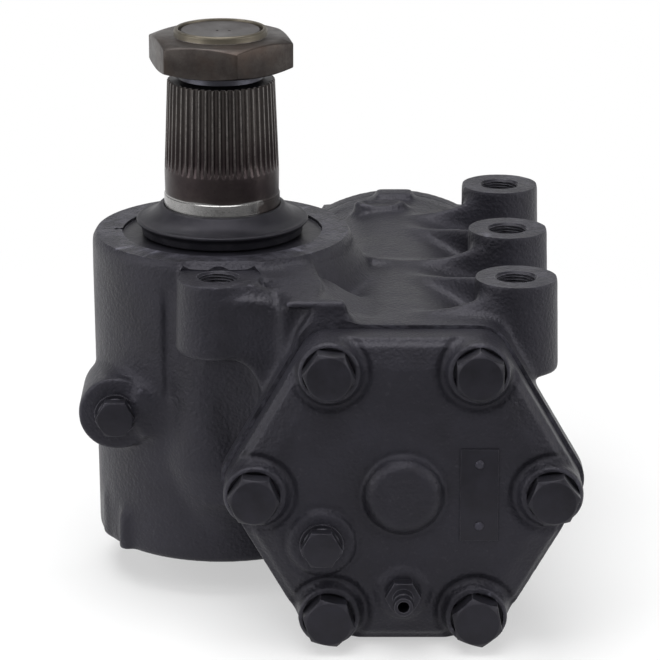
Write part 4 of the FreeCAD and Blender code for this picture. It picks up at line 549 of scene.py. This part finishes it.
def cast_piece(node, name, voxel, hollow_rounds, rounds, stock=(), fill=(), cuts=(), calm=None, reshape=None,
               soft=None, shape=None):
    """The node as foundry and mill leave it: fillets everywhere, then sharp machined faces.

    stock is a list of (axis, plane, distance, where): faces in that plane get that much more metal.
    fill are loose meshes that close bores or add forms before the skin is made.
    cuts are groups of cutters, one machining step each; the cutters of one group don't touch each other.
    calm weighs down the smoothing, soft marks where the fillets grow larger.
    reshape moves points of the plain form, shape moves points of the finished skin."""
    item = node_copy(node, name)
    co = points_of(item.data)
    if reshape:
        reshape(co)
    for axis, plane, distance, where in stock:
        at = (abs(co[:, axis] - plane) < SAME_PLANE) & where(co)
        co[at, axis] += distance
    move_points(item, co)
    bm = joined(fill)
    bm.from_mesh(item.data)
    give_back(bm, item)
    skin = item.modifiers.new("skin", "REMESH")
    skin.mode = "VOXEL"
    skin.voxel_size = voxel
    apply_modifiers(item)
    co = points_of(item.data)
    weight = np.ones(len(co)) if calm is None else calm(co)
    relax(item, FIRST_ROUNDS, weight)
    relax(item, hollow_rounds, weight, hollows_only=True)
    if soft:
        relax(item, SOFT_ROUNDS, weight * soft(co), hollows_only=True)
        relax(item, SOFT_ROUNDS // 4, weight * soft(co))
    if shape:
        co = points_of(item.data)
        shape(co)
        move_points(item, co)
    relax(item, rounds, weight)
    for number, cutters in enumerate(cuts):
        machine(item, joined(cutters), f"{name}_tool_{number}")
    smooth_by_angle(item, 38)
    adopt(item, node)


# Casing: sizes in millimetres, stock in metres
HOLE_DEPTH = 35.0
TAPPED_WALL = 10.6
RIM_TOP = 4.0
RIM_BORE, RIM_BORE_FLOOR = 50, -3
SEAL_BORE, SEAL_BORE_FLOOR = 42, -14.9
BARREL_RADIUS = 65.0
BORE_CLEAR = 58.2
BOSS_STOCK, RIM_STOCK, FLANGE_STOCK = 0.0012, 0.0022, 0.0034
LEFT_BOSS = (0, -72)

# The small lug at the barrel's foot: where the CAD has it, where the photo shows it, and its top
OLD_LUG, NEW_LUG = math.radians(202.1), math.radians(221.0)
LUG_HEIGHT = -0.126

# Plan (x, y) of the wall that runs from the pillar to the flange without a pocket
PILLAR_SKIN = [(-8, -69.5), (8, -73.0), (25, -78.5), (40, -85.5), (60, -91.5), (60, -60), (-5, -55)]

# Front view (x, z) of the small rib from the side plug's boss to the column
PLUG_RIB = [(-40, -60.5), (-34.5, -64), (-29, -68.5), (-27, -72), (-27, -84), (-38, -88), (-46, -76)]

# Plan of the forked slit beside the snap ring, where a tool lifts its end
RING_SLIT = [(-49.6, -1.7), (-50.4, -1.2), (-51.6, -0.5), (-53.2, -1.3), (-53.7, -0.8), (-52.5, 0.0), (-53.7, 1.0),
             (-53.2, 1.5), (-51.6, 0.5), (-50.4, 1.4), (-49.6, 2.1)]


def anywhere(co):
    return np.ones(len(co), dtype=bool)


def on_boss(co):
    near = np.zeros(len(co), dtype=bool)
    for x, y in BOSS_TOPS:
        near |= np.hypot(co[:, 0] - x, co[:, 1] - y) < 0.0205
    return near


def inside_calm(co):
    """Bores keep their size: their walls are hardly smoothed."""
    x, y, z = co.T
    from_shaft = np.hypot(x, y)
    in_cylinder = (np.hypot(x - CYLINDER_X, z - CYLINDER_Z) < 0.0583) & (abs(y) < 0.15)
    in_cavity = (from_shaft < 0.0577) & (z < -0.02)
    in_seat = (from_shaft < 0.0614) & (z < -0.14)
    return np.where(in_cylinder | in_cavity | in_seat, 0.15, 1.0)


def web_pockets(co):
    """The hollows between the webs and the right-hand bosses have a large sweep."""
    x, y, z = co.T
    top = (x > 0.075) & (x < 0.14) & (z > -0.05) & (abs(y) < 0.122)
    for boss_x, boss_y in BOSS_TOPS[:3]:
        top &= (np.hypot(x - boss_x, y - boss_y) > 0.0225) | (z < -0.006)
    return top.astype(float)


def lug_away(co):
    """Presses the small lug at the barrel's foot back into the wall; it stands further round."""
    from_shaft = np.hypot(co[:, 0], co[:, 1])
    turned = np.arctan2(co[:, 1], co[:, 0]) % TAU
    wall = BARREL_RADIUS * MM
    at = (abs(turned - OLD_LUG) < 0.15) & (co[:, 2] < LUG_HEIGHT) & (from_shaft > wall + 0.00004)
    co[at, :2] *= ((wall - 0.0001) / from_shaft[at])[:, None]


def column_valley(co):
    """A sharp valley runs down between the barrel and the left boss's column."""
    x, y, z = co.T / MM
    depth = np.interp(x, [-28.2, -27.2, -26.4, -24.0, -21.0], [0.0, 1.1, 2.3, 1.5, 0.0])
    depth *= np.interp(z, [-69.0, -62.0, -20.0, -9.0], [0.0, 1.0, 1.0, 0.0])
    co[:, 1] += np.where((y < -52) & (y > -66), depth * MM, 0.0)


def open_bore(co):
    """The metal behind the pillar keeps out of the cylinder's bore."""
    x, y, z = co.T / MM
    side, up = x - CYLINDER_X / MM, z - CYLINDER_Z / MM
    across = np.maximum(np.hypot(side, up), 1.0)
    push = np.where((across < BORE_CLEAR) & (x < 70) & (y < -50) & (y > -101), BORE_CLEAR / across - 1.0, 0.0)
    co[:, 0] += push * side * MM
    co[:, 2] += push * up * MM


def boss_slope(co):
    """A short slope leads from the rim down to the left boss's flat top."""
    x, y, z = co.T / MM
    out = np.hypot(x, y)
    slope = np.interp(out, [57.0, 58.5, 60.0, 61.5, 62.4, 63.2], [9.0, 4.4, 3.6, 2.2, 0.9, 0.35])
    near = np.interp(np.hypot(x - LEFT_BOSS[0], y - LEFT_BOSS[1]), [18.5, 23.5], [1.0, 0.0])
    co[:, 2] -= np.where((z > -0.5) & (out > 57), np.maximum(z - slope, 0.0) * near * MM, 0.0)


def oval_pad(co):
    """A low oval ring stands on top, near the rear flange."""
    x, y, z = co.T / MM
    reach = np.hypot((x - 80.5) / 14.5, (y - 107.5) / 7.0)
    rise = 2.3 * np.exp(-((reach - 0.84) / 0.17) ** 2) + 0.5 * (reach < 0.84)
    co[:, 2] += np.where((z > -50) & (reach < 1.4), rise * MM, 0.0)


def casing_details(co):
    for detail in (column_valley, open_bore, boss_slope, oval_pad):
        detail(co)


def casing_fill():
    """Closes the bores that are cut again later, and adds the forms that the CAD leaves plain."""
    fill = [bar(9.9, -36, 1.6, (x, y, 0)) for x, y in BOSS_TOPS]
    fill.append(bar(51.5, -9, RIM_TOP + RIM_STOCK / MM))
    fill.append(bar(43.5, -16, RIM_TOP))
    out = (BARREL_RADIUS - 1.4) * MM
    lug_place = (out * math.cos(NEW_LUG), out * math.sin(NEW_LUG), 0)
    fill.append(lathe_mesh([(4, -150.9), (4, -134), (1.2, -128)], 48, lug_place, closed=False))
    fill.append(extruded(PILLAR_SKIN, -118, -40))
    rib = extruded(PLUG_RIB, 40, 57.7)
    rib.transform(TO_FRONT)
    fill.append(rib)
    # The rim's edge behind the left boss
    fill.append(extruded(arc(51, -114, -66) + arc(62.6, -66, -114), -6, 6.2))
    return fill


def casing_cuts():
    """Rim with its stepped bore and front joint, boss tops, tapped holes, slit."""
    above = RIM_TOP + 4
    rim = lathe_mesh([(72, RIM_TOP), (72, above), (0.5, above), (0.5, SEAL_BORE_FLOOR), (SEAL_BORE, SEAL_BORE_FLOOR),
                      (SEAL_BORE, RIM_BORE_FLOOR), (RIM_BORE, RIM_BORE_FLOOR), (RIM_BORE, RIM_TOP)], 160)
    joint = block((-0.02, FRONT_JOINT - 0.01, -0.19), (0.2, FRONT_JOINT, 0.02))
    right_tops = [bar(23.5, 0, 9, (x, y, 0), segments=96) for x, y in BOSS_TOPS if x]
    left_top = extruded(arc(20.8, -213.3, 33.3, 60, LEFT_BOSS) + arc(62.9, -74.2, -105.8, 40), 0, 9)
    holes = [bar(TAPPED_WALL, -HOLE_DEPTH - 1, 3, (x, y, 0)) for x, y in BOSS_TOPS]
    return [[rim, joint], [*right_tops, left_top], holes, [extruded(RING_SLIT, -2.5, 7)]]


cast_piece("housing", "cast_casing", 0.0011, 22, 5,
           stock=[(2, 0.0, BOSS_STOCK, on_boss), (2, RIM_TOP * MM, RIM_STOCK, anywhere),
                  (1, FRONT_JOINT, -FLANGE_STOCK, anywhere)],
           fill=casing_fill(), cuts=casing_cuts(), calm=inside_calm, reshape=lug_away, soft=web_pockets,
           shape=casing_details)


# Front end cover: a raised ring with a spot-faced seat for each screw
SCREWS = 6
BOLT_CIRCLE = 71.0
BOLT_SEAT_Y = -128.0
SEAT_SINK = 2.6
SPIGOT = 57.2
PLUG_PAD = (0.0499, -0.1166)
BLEEDER_PAD = (CYLINDER_X, CYLINDER_Z - 0.0494)
BAND_PLANE, BAND_SHIFT = -0.121, 0.003


def around_cover(number, radius=BOLT_CIRCLE):
    """The (x, z) of a screw's axis in metres."""
    angle = math.radians(360 / SCREWS * number)
    return CYLINDER_X + radius * MM * math.cos(angle), CYLINDER_Z + radius * MM * math.sin(angle)


def seat_place(number):
    x, z = around_cover(number)
    return x, BOLT_SEAT_Y * MM, z


def bolt_ring(number):
    """The raised ring round a screw, its foot drawn towards the cover's middle."""
    angle = math.radians(360 / SCREWS * number)
    bm = bmesh.new()
    rings = [ring_of(bm, radius, height, 64, (-shift * MM * math.cos(angle), -shift * MM * math.sin(angle)))
             for radius, height, shift in ((13.4, -4.5, 0), (15.2, -4.5, 1.6), (14.7, 0.0, 0.3), (13.4, 0.0, 0))]
    skin_over(bm, rings)
    bmesh.ops.recalc_face_normals(bm, faces=bm.faces)
    bm.transform(Matrix.Translation(Vector(seat_place(number))) @ TO_FRONT)
    return bm


# Hollows round the cover's raised rings: (x, z) in metres, then radius, half width and depth in millimetres
COVER_HOLLOWS = [(around_cover(number, BOLT_CIRCLE - 1), 17.5, 3.3, 2.3) for number in range(SCREWS)]
COVER_HOLLOWS += [(PLUG_PAD, 17.0, 2.8, 1.0), ((CYLINDER_X, CYLINDER_Z), 20.6, 2.6, 0.7),
                  (BLEEDER_PAD, 12.6, 2.4, 0.8)]


def steeper_band(co):
    """The sloping band round the cover starts nearer the flange."""
    at = abs(co[:, 1] - BAND_PLANE) < SAME_PLANE
    co[at, 1] += BAND_SHIFT


def cover_details(co):
    """A shallow hollow runs round each raised ring, and the middle disc has a soft shoulder."""
    front = co[:, 1] < -0.113
    x, z = co[:, 0], co[:, 2]
    sink = np.zeros(len(co))
    for (middle_x, middle_z), radius, half, depth in COVER_HOLLOWS:
        away = np.hypot(x - middle_x, z - middle_z)
        wave = np.clip(1 - abs(away - radius * MM) / (half * MM), 0, 1)
        sink = np.maximum(sink, depth * MM * (3 - 2 * wave) * wave ** 2)
    co[:, 1] += np.where(front, sink, 0.0)
    away = np.hypot(x - CYLINDER_X, z - CYLINDER_Z) / MM
    shoulder = (-132.0 + 7.0 * np.clip((away - 13.0) / 7.0, 0, 1) ** 2.2) * MM
    near = front & (away < 20)
    co[near, 1] = np.maximum(co[near, 1], shoulder[near])


cast_piece("front_cover", "cast_end_cover", 0.0009, 8, 3,
           stock=[(1, FRONT_JOINT, 0.0026, anywhere)],
           fill=[bolt_ring(number) for number in range(SCREWS)], reshape=steeper_band, shape=cover_details,
           cuts=[[lathe_mesh([(SPIGOT, 0), (120, 0), (120, 6), (SPIGOT, 6)], 160,
                             (CYLINDER_X, FRONT_JOINT, CYLINDER_Z), TO_REAR)],
                 [bar(12.7, -SEAT_SINK, 12, seat_place(number), TO_FRONT, 96) for number in range(SCREWS)]])


# Screws of the cover, each turned as it was tightened: angles in degrees, sizes in millimetres
HEAD_TURNS = (8, 30, -6, -5, -12, 41)
SHANK, ACROSS_FLATS, WASHER_FACE, HEAD_TOP = 7.0, 22.0, 10.34, 8.8


def head_screw(number):
    """A hexagon screw with a washer face and a chamfered head."""
    washer_top = 0.6 - SEAT_SINK
    form = lathe_mesh([(SHANK, -45), (SHANK, -SEAT_SINK), (WASHER_FACE, -SEAT_SINK), (WASHER_FACE, washer_top),
                       (13.4, washer_top), (13.4, HEAD_TOP - 2.42), (10.3, HEAD_TOP)], 96, closed=False)
    corner = ACROSS_FLATS / math.sqrt(3)
    prism = extruded([(corner * math.cos(TAU * k / 6), corner * math.sin(TAU * k / 6)) for k in range(6)], -46, 12)
    prism.transform(Matrix.Rotation(math.radians(HEAD_TURNS[number]), 4, "Z"))
    item = mesh_object(f"screw_{number}", form, FINISHES["fastener_paint"])
    machine(item, prism, "hexagon", "INTERSECT")
    break_edges(item, 0.0003, 24)
    bm = loose_mesh(item)
    bm.transform(Matrix.Translation(Vector(seat_place(number))) @ TO_FRONT)
    bpy.data.objects.remove(item)
    return bm


screws = mesh_object("head_screws", joined([head_screw(number) for number in range(SCREWS)]),
                     FINISHES["fastener_paint"])
smooth_by_angle(screws, 24)
adopt(screws, "front_cover_bolts")

cast_piece("valve_housing", "cast_valve_housing", 0.0012, 12, 4)


# Tapped holes of the bosses, in millimetres
THREAD_MINOR, THREAD_MAJOR, THREAD_PITCH, THREAD_DEPTH = 9.19, 10.0, 1.5, 22.0
COUNTERSINK = 10.4
PITCH_STEPS = 8


def thread_sleeve(name, x, y):
    """The wall of a tapped hole: a countersink, then a thread cut into it."""
    bm = bmesh.new()
    rings = []
    for k in range(int(THREAD_DEPTH / THREAD_PITCH * PITCH_STEPS) + 1):
        height = -THREAD_PITCH * k / PITCH_STEPS

        def tapped(share, k=k, height=height):
            wave = (k / PITCH_STEPS + share) % 1.0
            groove = max(0.0, 1 - abs(wave - 0.5) / 0.42)
            return max(THREAD_MINOR + (THREAD_MAJOR - THREAD_MINOR) * groove, COUNTERSINK + height)

        rings.append(ring_of(bm, tapped, height, 96, (x, y)))
    outside = TAPPED_WALL + 0.01
    for height, radius in ((-HOLE_DEPTH, THREAD_MINOR), (-HOLE_DEPTH, outside), (-0.05, outside)):
        rings.append(ring_of(bm, radius, height, 96, (x, y)))
    skin_over(bm, rings)
    bmesh.ops.recalc_face_normals(bm, faces=bm.faces)
    item = mesh_object(name, bm, FINISHES["fastener_paint"])
    smooth_by_angle(item, 30)
    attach(item, bodies["housing"])


for number, (x, y) in enumerate(BOSS_TOPS, start=1):
    thread_sleeve(f"mounting_thread_{number}", x, y)


# Drop-arm shaft, in millimetres: the sector below stays as the CAD has it, the end that shows is cut in detail
SHAFT_SPLIT = 10.0
SPLINES = 48
SPLINE_LOW, SPLINE_HIGH = 34.8, 80.6
CONE_LOW, CONE_HIGH = 28.55, 26.75
STUD_PITCH, STUD_MINOR, STUD_MAJOR = 1.5, 20.1, 20.9


def sector_below():
    """The CAD's shaft up to the height where the detailed end takes over."""
    item = node_copy("sector_shaft", "sector_below_seal")
    bm = loose_mesh(item)
    bmesh.ops.bisect_plane(bm, geom=bm.verts[:] + bm.edges[:] + bm.faces[:], plane_co=(0, 0, SHAFT_SPLIT * MM),
                           plane_no=(0, 0, 1), clear_outer=True)
    bmesh.ops.holes_fill(bm, edges=[e for e in bm.edges if e.is_boundary], sides=0)
    give_back(bm, item)
    smooth_by_angle(item, 30)
    adopt(item, "sector_shaft")


def serration(z, share):
    """The cone's radius at a height and a share of a turn, with the serrations' run-out at its foot."""
    cone = CONE_LOW + (CONE_HIGH - CONE_LOW) * (z - SPLINE_LOW) / (SPLINE_HIGH - SPLINE_LOW)
    off_groove = abs(share * SPLINES % 1.0 - 0.5) * TAU / SPLINES * cone
    run_out = max(0.0, SPLINE_LOW + 9.0 - z) ** 2 / 44
    return min(cone, cone - 1.15 + max(0.0, off_groove - 0.78) * 2.1 + run_out)


def shaft_end():
    """Seat, ground ring, serrated cone with run-outs, neck and threaded stud."""
    bm = bmesh.new()
    segments = SPLINES * 12
    rows = [(10.0, 28.85), (23.1, 28.85), (23.5, 28.45), (24.1, 28.4), (24.6, 28.4), (34.0, 28.55)]
    count = 54
    for k in range(count + 1):
        z = SPLINE_LOW + (SPLINE_HIGH - SPLINE_LOW) * (k / count) ** 1.25
        rows.append((z, lambda share, z=z: serration(z, share)))
    for z, inset in ((80.9, 0.25), (81.1, 1.1)):
        rows.append((z, lambda share, z=z, inset=inset: min(serration(SPLINE_HIGH, share), CONE_HIGH - inset)))
    rows += [(81.15, 24.4), (81.3, 22.6), (82.0, 21.0), (84.2, 20.4), (86.2, 20.3), (87.2, 20.4)]
    z = 88.0
    while z < 105.2:
        def threaded(share, z=z):
            wave = (z / STUD_PITCH - share) % 1.0
            return STUD_MINOR + (STUD_MAJOR - STUD_MINOR) * min(1.0, max(0.0, 1.25 - abs(wave - 0.5) / 0.4))

        rows.append((z, threaded))
        z += STUD_PITCH / 6
    # The stud's end, then its face in rings
    rows += [(105.3, 20.0), (106.0, 19.2), (106.0, 16.0), (105.95, 9.0), (105.9, 3.0)]
    rings = [ring_of(bm, radius, height, segments) for height, radius in rows]
    skin_over(bm, rings, closed=False)
    bm.faces.new(rings[0])
    bm.faces.new(rings[-1])
    bmesh.ops.recalc_face_normals(bm, faces=bm.faces)
    item = mesh_object("serrated_shaft_end", bm, FINISHES["shaft_steel"])
    punch_marks = [bar(0.75, 105.2, 107, (x * MM, y * MM, 0), segments=24) for x, y in ((-1.6, -2.6), (4.4, -3.4))]
    machine(item, joined(punch_marks), "punch")
    smooth_by_angle(item, 32)
    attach(item, bodies["sector_shaft"])
    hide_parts("sector_shaft")


sector_below()
shaft_end()

# Dust seal: a moulded boot with a thin flared lip and a rolled collar at the shaft
SEAL_LINE = [(29.0, 10.2, 0), (34.5, 3.2, 1.2), (40.0, 3.3, 1.0), (40.6, 7.4, 1.2), (42.3, 8.8, 0.5),
             (42.9, 9.4, 0.4), (42.9, 10.4, 0.4), (42.2, 10.8, 0.3), (40.6, 10.9, 0.8), (36.0, 12.6, 3.0),
             (33.0, 15.3, 1.6), (31.2, 17.5, 0.8), (29.2, 17.7, 0.5), (28.9, 17.0, 0)]
seal = mesh_object("moulded_dust_seal", lathe_mesh(rounded_profile(SEAL_LINE), 160), FINISHES["seal_rubber"])
smooth_by_angle(seal, 40)
adopt(seal, "dust_seal")


def domed_rivets():
    """The two rivets of the plate with their round heads."""
    co = points_of(frame["nodes"]["nameplate_rivets"].data)
    face = points_of(frame["nodes"]["nameplate"].data)[:, 1].min()
    middle = co[:, 2].mean()
    low, top = 0.02, (face - co[:, 1].min()) / MM
    shank, head = 0.9, 2.1
    dome = [(head * math.cos(t * math.pi / 16), low + (top - low) * math.sin(t * math.pi / 16))
            for t in range(1, 8)]
    parts = []
    for at in (co[:, 2] < middle, co[:, 2] >= middle):
        x, z = (co[at, 0].min() + co[at, 0].max()) / 2, (co[at, 2].min() + co[at, 2].max()) / 2
        parts.append(lathe_mesh([(shank, -1.2), (shank, low), (head, low)] + dome, 32, (x, face, z), TO_FRONT,
                                closed=False))
    item = mesh_object("domed_rivets", joined(parts), smooth_paint("rivet_paint", 0.03))
    smooth_by_angle(item, 40)
    adopt(item, "nameplate_rivets")


domed_rivets()
for piece, width in (("valve_housing_bolts", 0.0004), ("cover_plug", 0.0004), ("side_plug", 0.0004),
                     ("bleeder_screw", 0.0003), ("drop_arm_nut", 0.0006), ("nameplate", 0.0002),
                     ("sector_cover", 0.0005), ("adjuster_lock_nut", 0.0004)):
    crisp(piece, width)


# Floor, light and camera
def seen_rays(n):
    """1 for the rays that show a backdrop: straight to the camera, mirrored or through glass."""
    path = n.add("ShaderNodeLightPath").outputs
    seen = path["Is Camera Ray"]
    for name in ("Is Glossy Ray", "Is Transmission Ray"):
        seen = n.math("MAXIMUM", seen, path[name])
    return seen


def stage_floor():
    """A pale floor that runs out to plain white, with a grey bench in front that the faces mirror."""
    n = new_material("pale_floor")
    x, y, z = n.axes()
    bench = n.ramp(y, -0.42, -0.24)
    tone = n.mix(n.ramp(n.noise(4), 0.3, 0.7), times(0.86, 1, 1, 1), times(0.88, 1, 1, 1))
    tone = n.mix(bench, times(0.3, 1, 1, 1), tone)
    n.finish(Base_Color=tone, Roughness=0.9, Specular_IOR_Level=0.2)
    across = n.math("POWER", n.math("SUBTRACT", x, 0.06), 2.0)
    along = n.math("POWER", n.math("SUBTRACT", y, 0.03), 2.0)
    away = n.math("SQRT", n.math("ADD", across, along))
    share = n.math("MULTIPLY", n.ramp(away, 0.2, 0.58, 0.5, 1.0), seen_rays(n))
    white = n.add("ShaderNodeEmission", {"Color": WHITE, "Strength": 1.0})
    blend = n.add("ShaderNodeMixShader", {0: n.math("MULTIPLY", share, bench), 1: n.shader.outputs[0],
                                          2: white.outputs[0]})
    n.feed(n.tree.nodes["Material Output"].inputs["Surface"], blend.outputs[0])
    bm = bmesh.new()
    bmesh.ops.create_grid(bm, x_segments=1, y_segments=1, size=12)
    floor = mesh_object("floor", bm, n.owner, smooth=False)
    floor.location = (0, 0, FLOOR_Z - 0.0002)


def light(name, place, size, power):
    """A lamp panel that faces the middle of the gear."""
    data = bpy.data.lights.new(name, "AREA")
    data.shape = "RECTANGLE"
    data.size, data.size_y = size
    data.energy = power
    item = bpy.data.objects.new(name, data)
    item.location = place
    item.rotation_euler = ((cad_low + cad_high) / 2 - Vector(place)).to_track_quat("-Z", "Y").to_euler()
    bpy.context.scene.collection.objects.link(item)


def studio_world():
    """The room is white round the horizon and dim overhead, between the lamps."""
    world = bpy.data.worlds.new("studio")
    bpy.context.scene.world = world
    n = Nodes(world)
    ceiling = n.ramp(n.axes(n.coordinates["Generated"])[2], 0.05, 0.5, 1.0, 0.25)
    seen = n.ramp(seen_rays(n), 0.0, 1.0, 0.45, 1.0)
    background = n.tree.nodes["Background"].inputs
    n.feed(background["Color"], WHITE)
    n.feed(background["Strength"], n.math("MULTIPLY", ceiling, seen))


stage_floor()
light("overhead", (-0.1, 0.05, 1.35), (1.7, 1.2), 27)
light("front_top", (0.0, -1.25, 1.2), (1.3, 0.5), 6)
light("left_panel", (-1.2, -0.55, 0.45), (1.2, 0.8), 9)
light("right_panel", (1.3, -0.45, 0.45), (1.2, 0.7), 7)
studio_world()

scene = bpy.context.scene
camera_data = bpy.data.cameras.new("camera")
camera_data.lens = CAMERA_LENS
camera_data.sensor_width = 36
camera_data.clip_end = 50
camera = bpy.data.objects.new("camera", camera_data)
camera.location = CAMERA_PLACE
camera.rotation_euler = (math.radians(CAMERA_TILT), 0, 0)
scene.collection.objects.link(camera)
scene.camera = camera
scene.view_settings.view_transform = "Standard"
